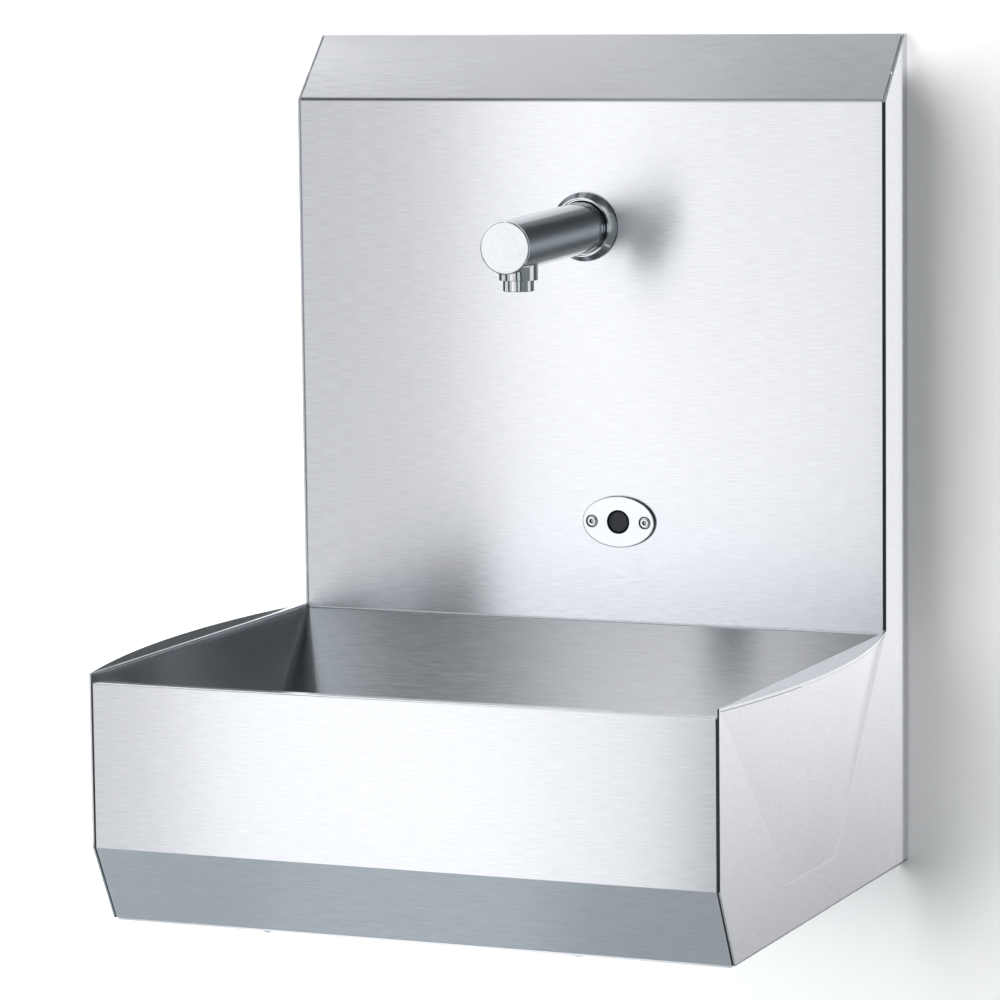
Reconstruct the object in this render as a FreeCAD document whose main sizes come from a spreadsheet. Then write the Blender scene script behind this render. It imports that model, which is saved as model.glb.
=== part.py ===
import FreeCAD, Part
import math
import os
import re

import Sketcher

# Wall-hung hand basin of folded stainless sheet with a sensor tap.
# Millimetres. The wall is the plane y = 0, the front is -Y and +Z is up.
# The origin is the centre of the four wall fixings.
# Heights in the sizes run up from the housing's bottom edge and depths run out from the wall.

SIZES = {
    # Folded housing
    "width": 500,
    "depth": 440,
    "height": 656,
    "gauge": 1.5,
    "slit": 1.5,
    "splash_depth": 55,
    "crest_depth": 6,
    "shoulder_height": 605,
    "wall_return": 30,
    "rim_height": 190,
    "cheek_height": 192,
    "apron_height": 185,
    "apron_bend": 60,
    "toe_setback": 32,
    "toe_flange": 20,
    "rim_width": 10,
    "floor_height": 34,
    "floor_rear": 183,
    "floor_front": 290,
    "upstand": 25,
    "bulge": 21.5,
    "bulge_inset": 3,
    "rim_lip": 4.5,
    "rim_hem": 1,
    "bend_radius": 1.2,
    "wall_flange": 30,
    "panel_flange": 16,
    "apron_flange": 12,
    "base_flange": 24,
    "fixing_low": 110,
    "fixing_high": 560,
    "fixing_hole": 9,
    # Fasteners of the housing
    "stud_diameter": 5,
    "stud_length": 12,
    "stud_low": 245,
    "stud_high": 565,
    "stud_nut_flats": 8,
    "stud_nut_height": 4,
    "screw_diameter": 5,
    "screw_length": 9,
    "screw_head_diameter": 10,
    "screw_head_height": 2.8,
    "screw_setback": 60,
    "cover_margin": 4,
    "tail_clearance": 6,
    "hole_clearance": 0.5,
    "thread_clearance": 0.05,
    # Spout
    "spout_height": 505,
    "spout_diameter": 41,
    "spout_reach": 168,
    "spout_fall": 5.9,
    "spout_edge": 1.5,
    "spout_bore": 12,
    "outlet_bore": 11,
    "outlet_setback": 27.5,
    "boss_diameter": 30,
    "boss_drop": 27.3,
    "rosette_diameter": 55,
    "rosette_thickness": 8,
    "rosette_edge": 2,
    "rosette_flank": 4,
    "rosette_rim": 1.2,
    "rosette_recess": 2,
    "rosette_clearance": 0.6,
    "gasket_thickness": 1,
    "shank_diameter": 21,
    "washer_diameter": 36,
    "washer_thickness": 2,
    "spout_nut_flats": 30,
    "spout_nut_height": 8,
    "aerator_diameter": 24,
    "aerator_drop": 8.5,
    "aerator_thread": 21.8,
    "aerator_grip": 7,
    "aerator_wall": 2,
    "aerator_seal": 1.5,
    "aerator_grid": 3,
    "grid_hole": 2,
    "grid_inner_ring": 6.4,
    "grid_outer_ring": 12,
    "grid_inner_count": 6,
    "grid_outer_count": 12,
    "elbow_diameter": 28,
    "elbow_length": 26,
    "elbow_socket": 13,
    "elbow_drop": 27,
    # Sensor
    "sensor_offset": 27.3,
    "sensor_height": 270,
    "plate_width": 61,
    "plate_height": 41,
    "plate_thickness": 2.5,
    "plate_edge": 0.8,
    "plate_inset": 1.5,
    "window_diameter": 18.6,
    "window_recess": 0.4,
    "window_clearance": 0.2,
    "sensor_screw_pitch": 45,
    "sensor_screw_diameter": 4,
    "ear_margin": 1.5,
    "seat_diameter": 10,
    "seat_depth": 1.4,
    "cap_diameter": 7,
    "cap_height": 2.4,
    "cap_edge": 0.4,
    "cap_socket": 3,
    "cap_length": 10.6,
    "socket_depth": 1.6,
    "barrel_diameter": 26,
    "barrel_length": 20,
    "housing_flange": 9,
    "housing_clearance": 1,
    # Control box
    "control_offset": 160,
    "control_level": 370,
    "control_width": 100,
    "control_tall": 124,
    "control_deep": 30,
    "control_wall": 2,
    "pad_thickness": 1,
    "pad_margin": 10,
    "lid_thickness": 2.5,
    "post_diameter": 9,
    "post_inset": 6,
    "lid_screw_diameter": 3,
    "lid_screw_length": 12,
    "lid_screw_head": 5.6,
    "board_width": 76,
    "board_tall": 48,
    "board_thickness": 1.6,
    "board_stand": 4,
    "relay_height": 8,
    "can_height": 12.8,
    "cell_diameter": 14.4,
    "cell_length": 50,
    "cell_gap": 0.4,
    "holder_wall": 1.5,
    # Inlets and mixer
    "inlet_height": 55,
    "inlet_pitch": 80,
    "inlet_thread": 20.9,
    "inlet_tail": 9,
    "inlet_shank": 24,
    "inlet_bore": 12,
    "rail_depth": 20,
    "rail_height": 60,
    "locknut_flats": 30,
    "locknut_height": 8,
    "stop_diameter": 30,
    "stop_length": 26,
    "ball_diameter": 19,
    "ball_clearance": 0.3,
    "stem_diameter": 6,
    "stem_clearance": 0.05,
    "lever_drop": 2,
    "lever_length": 45,
    "lever_width": 12,
    "lever_thickness": 3,
    "hub_height": 7,
    "mixer_diameter": 28,
    "mixer_length": 112,
    "mixer_reach": 16,
    "mixer_rise": 18,
    "mixer_boss": 22,
    "gallery_bore": 11,
    "plug_diameter": 17.8,
    "plug_length": 18,
    "plug_bore": 10,
    "plug_rise": 8,
    "spindle_diameter": 8,
    "bonnet_flats": 24,
    "bonnet_height": 6,
    "knob_diameter": 34,
    "knob_height": 18,
    "knob_gap": 1,
    "knob_flute": 5,
    "knob_flute_count": 12,
    # Solenoid valve
    "valve_block": 34,
    "chamber_diameter": 22,
    "chamber_depth": 12,
    "seat_diameter": 10,
    "seat_rise": 3,
    "orifice_diameter": 5,
    "passage_diameter": 4.8,
    "valve_bore": 15,
    "outlet_bore": 8,
    "nipple_diameter": 16.6,
    "nipple_length": 10,
    "bonnet_flange": 28,
    "bonnet_thickness": 3,
    "core_diameter": 14,
    "core_end": 4,
    "plunger_diameter": 11,
    "plunger_length": 20,
    "plunger_clearance": 0.08,
    "plunger_travel": 2.5,
    "seal_diameter": 8,
    "seal_thickness": 2,
    "seat_gap": 0.1,
    "spring_length": 12,
    "spring_wire": 0.9,
    "spring_gap": 0.05,
    "spring_turns": 6,
    "coil_diameter": 30,
    "coil_fit": 0.2,
    "plug_socket": 12,
    "coil_stud": 6,
    "coil_nut_flats": 10,
    "coil_nut_height": 4,
    # Supply tube
    "tube_diameter": 12,
    "tube_wall": 1,
    "tube_nut_flats": 20.2,
    "tube_nut_corner": 1.8,
    "tube_nut_height": 14,
    "tube_entry": 6,
    "tube_side": 62,
    "tube_bend": 30,
    "tube_low": 145,
    "tube_mid": 215,
    "tube_cross": 395,
    # Waste
    "waste_hole": 52,
    "waste_flange": 70,
    "waste_rim": 2.5,
    "waste_seal": 2,
    "waste_cup": 50,
    "waste_depth": 6,
    "strainer_hole": 6,
    "strainer_ring": 30,
    "strainer_count": 10,
    "waste_wall": 3.5,
    "waste_throat": 12,
    "waste_cone": 8,
    "tail_diameter": 47.8,
    "tail_end": 25,
    "tail_thread": 20,
    "tail_relief": 1,
    "bridge_width": 9,
    "bridge_height": 7,
    "waste_screw": 8,
    "waste_head": 13,
    "waste_head_height": 4,
}

DATUM = "(fixing_low + fixing_high) / 2"
PANEL_FRONT = "-splash_depth"
PANEL_REAR = "-(splash_depth - gauge)"
SPOUT_LENGTH = "(spout_reach - gasket_thickness)"
OUTLET_DROP = f"(boss_drop + spout_fall * ({SPOUT_LENGTH} - outlet_setback) / {SPOUT_LENGTH})"
INNER_HALF = "(width / 2 - gauge)"
PANEL_HALF = "(width / 2 - gauge - slit)"
DRAIN_Y = "-(floor_rear + floor_front) / 2"

# Points nearer than this are one point
TOUCH = 0.01

V = FreeCAD.Vector
UP = FreeCAD.Rotation()
DOWN = FreeCAD.Rotation(V(1, 0, 0), 180)
FORWARD = FreeCAD.Rotation(V(1, 0, 0), 90)
BACKWARD = FreeCAD.Rotation(V(1, 0, 0), -90)
LEFTWARD = FreeCAD.Rotation(V(0, 1, 0), -90)
ON_SECTION = FreeCAD.Rotation(V(1, 1, 1), 120)

doc = FreeCAD.newDocument("hand_basin")
sheet = doc.addObject("Spreadsheet::Sheet", "dims")
for row, (alias, size) in enumerate(SIZES.items(), 1):
    sheet.set(f"A{row}", alias)
    sheet.set(f"B{row}", str(size))
    sheet.setAlias(f"B{row}", alias)
doc.recompute()
pieces = []


# Sizes and places

def formula(text):
    """Points each size name in a formula at its cell."""
    return re.sub(r"[a-z_]+", lambda word: f"dims.{word.group()}" if word.group() in SIZES else word.group(), text)


def value(text):
    return float(sheet.evalExpression(formula(text)))


def bind(item, **sizes):
    for name, text in sizes.items():
        item.setExpression(name, formula(text))


def place(item, x="0", y="0", z="0", turn=UP):
    """Puts an item at a depth and a height in the housing."""
    item.Placement = FreeCAD.Placement(V(), turn)
    for axis, text in (("x", x), ("y", y), ("z", z)):
        item.setExpression(f"Placement.Base.{axis}", formula(text))
    return item


def keep(item, label, x="0", y="0", z="0", turn=UP):
    """Names a finished piece and seats it, with heights counted from the wall fixings' centre."""
    place(item, x, y, f"({z}) - {DATUM}", turn)
    item.Label = label
    pieces.append(item)
    return item


# Sketches

def pin(sketch, edge, end, x, y):
    """Holds one end of an edge at a point given by two formulas."""
    for kind, axis, text in (("DistanceX", -2, x), ("DistanceY", -1, y)):
        if text == "0":
            sketch.addConstraint(Sketcher.Constraint("PointOnObject", edge, end, axis))
        else:
            number = sketch.addConstraint(Sketcher.Constraint(kind, -1, 1, edge, end, value(text)))
            sketch.setExpression(f"Constraints[{number}]", formula(text))


def chain(sketch, corners, closed=True):
    """Straight edges through corners given as formulas."""
    points = [V(value(x), value(y), 0) for x, y in corners]
    first = sketch.GeometryCount
    edges = len(points) if closed else len(points) - 1
    for number in range(edges):
        sketch.addGeometry(Part.LineSegment(points[number], points[(number + 1) % len(points)]), False)
    for number in range(1, edges):
        sketch.addConstraint(Sketcher.Constraint("Coincident", first + number - 1, 2, first + number, 1))
    if closed:
        sketch.addConstraint(Sketcher.Constraint("Coincident", first + edges - 1, 2, first, 1))
    for number, (x, y) in enumerate(corners[:edges]):
        pin(sketch, first + number, 1, x, y)
    if not closed:
        pin(sketch, first + edges - 1, 2, *corners[-1])


def rectangle(sketch, left, low, right, high):
    chain(sketch, [(left, low), (right, low), (right, high), (left, high)])


def hexagon(sketch, flats):
    corner = f"({flats}) / sqrt(3)"
    half = f"({flats}) / 2"
    chain(sketch, [
        (corner, "0"), (f"{corner} / 2", half), (f"-{corner} / 2", half),
        (f"-{corner}", "0"), (f"-{corner} / 2", f"-{half}"), (f"{corner} / 2", f"-{half}"),
    ])


def circle(sketch, diameter, x="0", y="0"):
    edge = sketch.addGeometry(Part.Circle(V(value(x), value(y), 0), V(0, 0, 1), value(diameter) / 2), False)
    pin(sketch, edge, 3, x, y)
    number = sketch.addConstraint(Sketcher.Constraint("Diameter", edge, value(diameter)))
    sketch.setExpression(f"Constraints[{number}]", formula(diameter))


def bowed_strip(sketch, inner, outer, near, far, inner_rise, outer_rise):
    """A strip between two lines of constant x whose sides bow outward; a rise of 0 is straight."""
    corners = [(inner, near), (outer, near), (outer, far), (inner, far)]
    points = [V(value(x), value(y), 0) for x, y in corners]
    span = f"(({far}) - ({near}))"
    ends = []
    for number, rise in enumerate(("0", outer_rise, "0", inner_rise)):
        start, end = points[number], points[(number + 1) % 4]
        if rise == "0":
            edge = sketch.addGeometry(Part.LineSegment(start, end), False)
        else:
            crown = (start + end) / 2 + V(value(rise), 0, 0)
            edge = sketch.addGeometry(Part.Arc(start, crown, end), False)
            radius = f"({span}^2 / 4 + ({rise})^2) / (2 * ({rise}))"
            bound = sketch.addConstraint(Sketcher.Constraint("Radius", edge, value(radius)))
            sketch.setExpression(f"Constraints[{bound}]", formula(radius))
        forward = sketch.getPoint(edge, 1).distanceToPoint(start) < sketch.getPoint(edge, 2).distanceToPoint(start)
        ends.append((edge, 1, 2) if forward else (edge, 2, 1))
    for number, (x, y) in enumerate(corners):
        edge, start, _ = ends[number]
        before, _, finish = ends[number - 1]
        sketch.addConstraint(Sketcher.Constraint("Coincident", before, finish, edge, start))
        pin(sketch, edge, start, x, y)


# Bodies and features

def new_body(name):
    return doc.addObject("PartDesign::Body", name)


def sketch_on(body, plane, offset="0"):
    sketch = body.newObject("Sketcher::SketchObject", f"{body.Name}_sketch")
    support = next(item for item in body.Origin.OriginFeatures if item.Role == plane)
    sketch.AttachmentSupport = [(support, "")]
    sketch.MapMode = "FlatFace"
    sketch.setExpression("AttachmentOffset.Base.z", formula(offset))
    return sketch


def pad(body, sketch, length, backwards=False):
    feature = body.newObject("PartDesign::Pad", f"{body.Name}_pad")
    feature.Profile = sketch
    feature.Reversed = backwards
    bind(feature, Length=length)
    return feature


def pocket(body, sketch, length, both_ways=False, onwards=False):
    """Cuts against the sketch's normal, along it (onwards) or half each way."""
    feature = body.newObject("PartDesign::Pocket", f"{body.Name}_pocket")
    feature.Profile = sketch
    feature.Reversed = onwards
    feature.SideType = "Symmetric" if both_ways else "One side"
    bind(feature, Length=length)
    return feature


def block(body, x_range, y_range, z_range):
    """A pad with straight sides between given limits."""
    sketch = sketch_on(body, "XY_Plane", z_range[0])
    rectangle(sketch, x_range[0], y_range[0], x_range[1], y_range[1])
    return pad(body, sketch, f"({z_range[1]}) - ({z_range[0]})")


def turn_profile(body, outline, kind="Revolution"):
    """Revolves an outline of (radius, height) corners about the body's Z axis."""
    sketch = sketch_on(body, "XZ_Plane")
    chain(sketch, outline)
    feature = body.newObject(f"PartDesign::{kind}", f"{body.Name}_turn")
    feature.Profile = sketch
    feature.ReferenceAxis = (sketch, ["V_Axis"])
    feature.Angle = 360
    return feature


def turned(name, outline):
    body = new_body(name)
    turn_profile(body, outline)
    return body


def ring(name, inner, outer, low, high):
    """A plain turned ring between two diameters."""
    inside, outside = f"({inner}) / 2", f"({outer}) / 2"
    return turned(name, [(inside, low), (outside, low), (outside, high), (inside, high)])


def nut(name, flats, bore, low, height):
    body = new_body(name)
    sketch = sketch_on(body, "XY_Plane", low)
    hexagon(sketch, flats)
    circle(sketch, bore)
    pad(body, sketch, height)
    return body


def round_edges(body, radius, chosen):
    """Rounds the edges of the body so far that a test on the edge picks."""
    doc.recompute()
    tip = body.Tip
    names = [f"Edge{number}" for number, edge in enumerate(tip.Shape.Edges, 1) if chosen(edge)]
    feature = body.newObject("PartDesign::Fillet", f"{body.Name}_round")
    feature.Base = (tip, names)
    bind(feature, Radius=radius)
    return feature


def pattern(body, feature, count):
    """Repeats a feature around the body's Z axis."""
    array = body.newObject("PartDesign::PolarPattern", f"{body.Name}_pattern")
    array.Originals = [feature]
    array.Axis = (next(item for item in body.Origin.OriginFeatures if item.Role == "Z_Axis"), [""])
    array.Angle = 360
    array.setExpression("Occurrences", formula(count))
    body.Tip = array
    return array


# Part primitives and booleans

def cylinder(name, diameter, length, x="0", y="0", z="0", turn=UP):
    item = doc.addObject("Part::Cylinder", name)
    bind(item, Radius=f"({diameter}) / 2", Height=length)
    return place(item, x, y, z, turn)


def fused(name, items):
    item = doc.addObject("Part::MultiFuse", name)
    item.Shapes = items
    return item


def cut_away(name, base, tools):
    item = doc.addObject("Part::Cut", name)
    item.Base = base
    item.Tool = tools[0] if len(tools) == 1 else fused(f"{name}_tools", tools)
    return item


def group(name, items):
    """Separate solids that share one node."""
    item = doc.addObject("Part::Compound", name)
    item.Links = items
    return item


def copies(name, source, places):
    """Links to one piece at several places."""
    links = []
    for x, y, z, turn in places:
        link = doc.addObject("App::Link", f"{name}_copy")
        link.LinkedObject = source
        links.append(place(link, x, y, z, turn))
    return group(name, links)


def folded(name, line, span):
    """A sheet folded along (y, z) corners; its gauge lies on the right of the line's travel."""
    sketch = doc.addObject("Sketcher::SketchObject", f"{name}_line")
    sketch.Placement = FreeCAD.Placement(V(), ON_SECTION)
    chain(sketch, line, closed=False)
    strip = doc.addObject("Part::Offset2D", f"{name}_strip")
    strip.Source = sketch
    strip.Mode = "Skin"
    strip.Join = "Arc"
    strip.Fill = True
    bind(strip, Value="gauge")
    fold = doc.addObject("Part::Extrusion", f"{name}_fold")
    fold.Base = strip
    fold.DirMode = "Custom"
    fold.Dir = V(1, 0, 0)
    fold.Symmetric = True
    fold.Solid = True
    bind(fold, LengthFwd=span)
    return fold


def through_panel(name, diameter, x, z):
    """A drill for the splashback at a given height."""
    return cylinder(name, diameter, "4 * gauge", x, f"{PANEL_FRONT} - gauge", z, BACKWARD)


# Housing

def stud_spots():
    x = f"({INNER_HALF} - panel_flange / 2)"
    heights = ("stud_low", "(stud_low + stud_high) / 2", "stud_high")
    return [(f"{side}{x}", z) for side in ("", "-") for z in heights]


def cover_spots():
    side = "(width / 2 - base_flange / 2)"
    front = "-(depth - toe_setback - toe_flange / 2)"
    deep = "-(depth - toe_setback - toe_flange - screw_setback)"
    spots = [(f"{sign}{side}", y) for sign in ("", "-") for y in ("-screw_setback", deep)]
    return spots + [(f"{sign}(width / 4)", front) for sign in ("", "-")]


def cheek_outline():
    """The flat outline, with the mouth that the swelled side closes."""
    return [
        ("0", "0"),
        ("-(depth - toe_setback)", "0"),
        ("-depth", "apron_bend"),
        ("-depth", "cheek_height"),
        ("-(depth - bulge_inset)", "cheek_height"),
        ("-floor_front", "floor_height + bulge_inset"),
        ("-floor_rear", "floor_height + bulge_inset"),
        ("-(splash_depth + bulge_inset)", "cheek_height"),
        ("-splash_depth", "cheek_height"),
        ("-splash_depth", "shoulder_height"),
        ("-crest_depth", "height"),
        ("0", "height"),
    ]


def cheek_swell(body):
    """The side swells from a straight foot at the bowl's floor to an arc at the rim."""
    near, far = "-(depth - bulge_inset)", "-(splash_depth + bulge_inset)"
    rim = sketch_on(body, "XY_Plane", "cheek_height")
    bowed_strip(rim, INNER_HALF, "width / 2", near, far, "bulge", "bulge")
    foot = sketch_on(body, "XY_Plane", "floor_height + bulge_inset")
    bowed_strip(foot, INNER_HALF, "width / 2", "-floor_front", "-floor_rear", "0", "0")
    loft = body.newObject("PartDesign::AdditiveLoft", "cheek_swell")
    loft.Profile = rim
    loft.Sections = [foot]
    loft.Ruled = True
    flange = sketch_on(body, "XY_Plane", "cheek_height - gauge")
    bowed_strip(flange, INNER_HALF, "width / 2 - gauge / 2", near, far, "0", "bulge")
    pad(body, flange, "gauge")
    block(body, (INNER_HALF, f"{INNER_HALF} + rim_hem"), (near, far), ("cheek_height - rim_lip", "cheek_height"))


def cheek_flanges(body):
    wall_top = "height - wall_return - slit"
    block(body, ("width / 2 - wall_flange", "width / 2"), ("-gauge", "0"), ("0", wall_top))
    block(body, (f"{INNER_HALF} - panel_flange", "width / 2"), (PANEL_REAR, f"{PANEL_REAR} + gauge"),
          ("rim_height + upstand", "shoulder_height - slit"))
    block(body, (f"{INNER_HALF} - apron_flange", "width / 2"), ("-(depth - gauge)", "-(depth - 2 * gauge)"),
          ("apron_bend + slit", "apron_height - 2 * gauge - slit"))
    block(body, ("width / 2 - base_flange", "width / 2"),
          ("-(depth - toe_setback - toe_flange - slit)", "0"), ("0", "gauge"))


def cheek_holes(body):
    fixings = sketch_on(body, "XZ_Plane")
    for z in ("fixing_low", "fixing_high"):
        circle(fixings, "fixing_hole", "width / 2 - wall_flange / 2", z)
    pocket(body, fixings, "4 * gauge", both_ways=True)
    studs = sketch_on(body, "XZ_Plane", "splash_depth - 1.5 * gauge")
    for x, z in stud_spots()[:3]:
        circle(studs, "stud_diameter + hole_clearance", x, z)
    pocket(body, studs, "4 * gauge", both_ways=True)
    screws = sketch_on(body, "XY_Plane")
    for x, y in cover_spots()[:2]:
        circle(screws, "screw_diameter + 2 * thread_clearance", x, y)
    pocket(body, screws, "4 * gauge", both_ways=True)


def cheeks():
    body = new_body("right_cheek")
    outline = sketch_on(body, "YZ_Plane", INNER_HALF)
    chain(outline, cheek_outline())
    pad(body, outline, "gauge")
    cheek_swell(body)
    cheek_flanges(body)
    cheek_holes(body)
    outer = value("width / 2")
    round_edges(body, "bend_radius", lambda edge: all(
        abs(vertex.X - outer) < TOUCH and abs(vertex.Y) < TOUCH for vertex in edge.Vertexes))
    keep(body, "right_cheek")
    mirror = doc.addObject("Part::Mirroring", "left_cheek")
    mirror.Source = body
    mirror.Normal = V(1, 0, 0)
    mirror.Label = "left_cheek"
    pieces.append(mirror)


def splashback():
    fold = folded("splashback", [
        ("-gauge", "height - wall_return"),
        ("-gauge", "height - gauge"),
        ("-crest_depth", "height - gauge"),
        (PANEL_REAR, "shoulder_height"),
        (PANEL_REAR, "rim_height"),
    ], f"2 * {PANEL_HALF}")
    drills = [through_panel("spout_drill", "shank_diameter + hole_clearance", "0", "spout_height")]
    drills.append(through_panel("window_drill", "window_diameter + 2 * hole_clearance",
                                "sensor_offset", "sensor_height"))
    for side in ("+", "-"):
        drills.append(through_panel("sensor_screw_drill", "sensor_screw_diameter + hole_clearance",
                                    f"sensor_offset {side} sensor_screw_pitch / 2", "sensor_height"))
    studs = [cylinder("panel_stud", "stud_diameter", "stud_length + gauge / 2", x, f"{PANEL_REAR} - gauge / 2", z,
                      BACKWARD) for x, z in stud_spots()]
    keep(fused("splashback", [cut_away("splashback_drilled", fold, drills)] + studs), "splashback")


def bowl():
    fold = folded("bowl", [
        ("-(depth - gauge)", "apron_height - gauge"),
        ("-(depth - rim_width)", "apron_height - gauge"),
        ("-floor_front", "floor_height"),
        ("-floor_rear", "floor_height"),
        (PANEL_REAR, "rim_height"),
        (PANEL_REAR, "rim_height + upstand"),
    ], f"2 * {INNER_HALF}")
    drill = cylinder("drain_drill", "waste_hole", "4 * gauge", "0", DRAIN_Y, "floor_height - 2 * gauge")
    notch = oval("sensor_notch", "plate_width - 2 * plate_inset + 2 * housing_clearance",
                 "plate_height - 2 * plate_inset + 2 * housing_clearance", "-gauge", "4 * gauge")
    place(notch, "sensor_offset", PANEL_REAR, "sensor_height", BACKWARD)
    keep(cut_away("bowl", fold, [drill, notch]), "bowl")


def front_apron():
    fold = folded("front_apron", [
        ("-(depth - rim_width)", "apron_height - gauge"),
        ("-(depth - gauge)", "apron_height - gauge"),
        ("-(depth - gauge)", "apron_bend"),
        ("-(depth - toe_setback)", "gauge"),
        ("-(depth - toe_setback - toe_flange)", "gauge"),
    ], f"2 * {PANEL_HALF}")
    drills = [cylinder("apron_drill", "screw_diameter + 2 * thread_clearance", "4 * gauge", x, y, "-gauge")
              for x, y in cover_spots()[4:]]
    keep(cut_away("front_apron", fold, drills), "front_apron")


def bottom_cover():
    body = new_body("bottom_cover")
    plan = sketch_on(body, "XY_Plane", "-gauge")
    rectangle(plan, "-(width / 2 - cover_margin)", "-(depth - toe_setback)",
              "width / 2 - cover_margin", "-cover_margin")
    circle(plan, "tail_diameter + 2 * tail_clearance", "0", DRAIN_Y)
    for x, y in cover_spots():
        circle(plan, "screw_diameter + hole_clearance", x, y)
    pad(body, plan, "gauge")
    keep(body, "bottom_cover")


def rear_rail():
    low, high = "inlet_height - rail_height / 2", "inlet_height + rail_height / 2"
    fold = folded("rear_rail", [
        ("-gauge", high),
        ("-rail_depth", high),
        ("-rail_depth", low),
        ("-gauge", low),
    ], f"2 * {INNER_HALF}")
    drills = [cylinder("inlet_drill", "inlet_shank + hole_clearance", "4 * gauge", f"{side}inlet_pitch / 2",
                       "-(rail_depth + 2 * gauge)", "inlet_height", BACKWARD) for side in ("", "-")]
    keep(cut_away("rear_rail", fold, drills), "rear_rail")


def housing_fasteners():
    panel_nut = nut("panel_nut", "stud_nut_flats", "stud_diameter + 2 * thread_clearance", "0", "stud_nut_height")
    spots = [(x, f"{PANEL_REAR} + gauge", z, BACKWARD) for x, z in stud_spots()]
    keep(copies("panel_nuts", panel_nut, spots), "panel_nuts")
    screw = turned("cover_screw", [
        ("0", "-screw_length"),
        ("screw_diameter / 2", "-screw_length"),
        ("screw_diameter / 2", "0"),
        ("screw_head_diameter / 2", "0"),
        ("screw_head_diameter / 2", "screw_head_height / 2"),
        ("screw_diameter / 2", "screw_head_height"),
        ("0", "screw_head_height"),
    ])
    spots = [(x, y, "-gauge", DOWN) for x, y in cover_spots()]
    keep(copies("cover_screws", screw, spots), "cover_screws")


# Spout, with its own axis running forward from the panel

def spout_body():
    """A shank through the panel, a tube that falls a little toward its end and a boss for the aerator."""
    rear = "-(gauge + washer_thickness + spout_nut_height + elbow_socket)"
    body = turned("spout_body", [
        ("0", rear),
        ("shank_diameter / 2", rear),
        ("shank_diameter / 2", "gasket_thickness"),
        ("0", "gasket_thickness"),
    ])
    outside = sketch_on(body, "XY_Plane", "gasket_thickness")
    circle(outside, "spout_diameter")
    tube = pad(body, outside, SPOUT_LENGTH)
    tube.UseCustomVector = True
    tube.AlongSketchNormal = True
    tube.Direction = V(0, 0, 1)
    tube.setExpression("Direction.y", formula(f"-spout_fall / {SPOUT_LENGTH}"))
    end = value("spout_reach")
    round_edges(body, "spout_edge", lambda edge: all(abs(vertex.Z - end) < TOUCH for vertex in edge.Vertexes))
    axis = "spout_reach - outlet_setback"
    boss = sketch_on(body, "XZ_Plane")
    circle(boss, "boss_diameter", "0", axis)
    pad(body, boss, OUTLET_DROP)
    inside = sketch_on(body, "XY_Plane", rear)
    circle(inside, "spout_bore")
    pocket(body, inside, f"{axis} + spout_bore / 2 - ({rear})", onwards=True)
    mouth = sketch_on(body, "XZ_Plane", OUTLET_DROP)
    circle(mouth, "aerator_thread + 2 * thread_clearance", "0", axis)
    pocket(body, mouth, "aerator_grip + aerator_seal")
    outlet = sketch_on(body, "XZ_Plane", OUTLET_DROP)
    circle(outlet, "outlet_bore", "0", axis)
    pocket(body, outlet, OUTLET_DROP)
    keep(body, "spout_body", "0", PANEL_FRONT, "spout_height", FORWARD)


def spout_trim():
    hole = "spout_diameter / 2 + rosette_clearance"
    face = "gasket_thickness + rosette_thickness"
    body = turned("rosette", [
        (hole, "gasket_thickness"),
        ("rosette_diameter / 2", "gasket_thickness"),
        ("rosette_diameter / 2", "gasket_thickness + rosette_edge"),
        ("rosette_diameter / 2 - rosette_flank", face),
        ("rosette_diameter / 2 - rosette_flank - rosette_rim", face),
        ("rosette_diameter / 2 - rosette_flank - rosette_rim", f"{face} - rosette_recess"),
        (hole, f"{face} - rosette_recess"),
    ])
    outer, bend = value("rosette_diameter / 2"), value("gasket_thickness + rosette_edge")
    round_edges(body, "rosette_edge", lambda edge: all(
        abs(vertex.Z - bend) < TOUCH and abs(vertex.X - outer) < TOUCH for vertex in edge.Vertexes))
    keep(body, "rosette", "0", PANEL_FRONT, "spout_height", FORWARD)
    body = ring("spout_gasket", "shank_diameter + hole_clearance", "rosette_diameter - rosette_flank",
                "0", "gasket_thickness")
    keep(body, "spout_gasket", "0", PANEL_FRONT, "spout_height", FORWARD)
    body = ring("spout_washer", "shank_diameter + hole_clearance", "washer_diameter", "0", "washer_thickness")
    keep(body, "spout_washer", "0", PANEL_REAR, "spout_height", BACKWARD)
    body = nut("spout_nut", "spout_nut_flats", "shank_diameter + 2 * thread_clearance",
               "washer_thickness", "spout_nut_height")
    keep(body, "spout_nut", "0", PANEL_REAR, "spout_height", BACKWARD)


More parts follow.
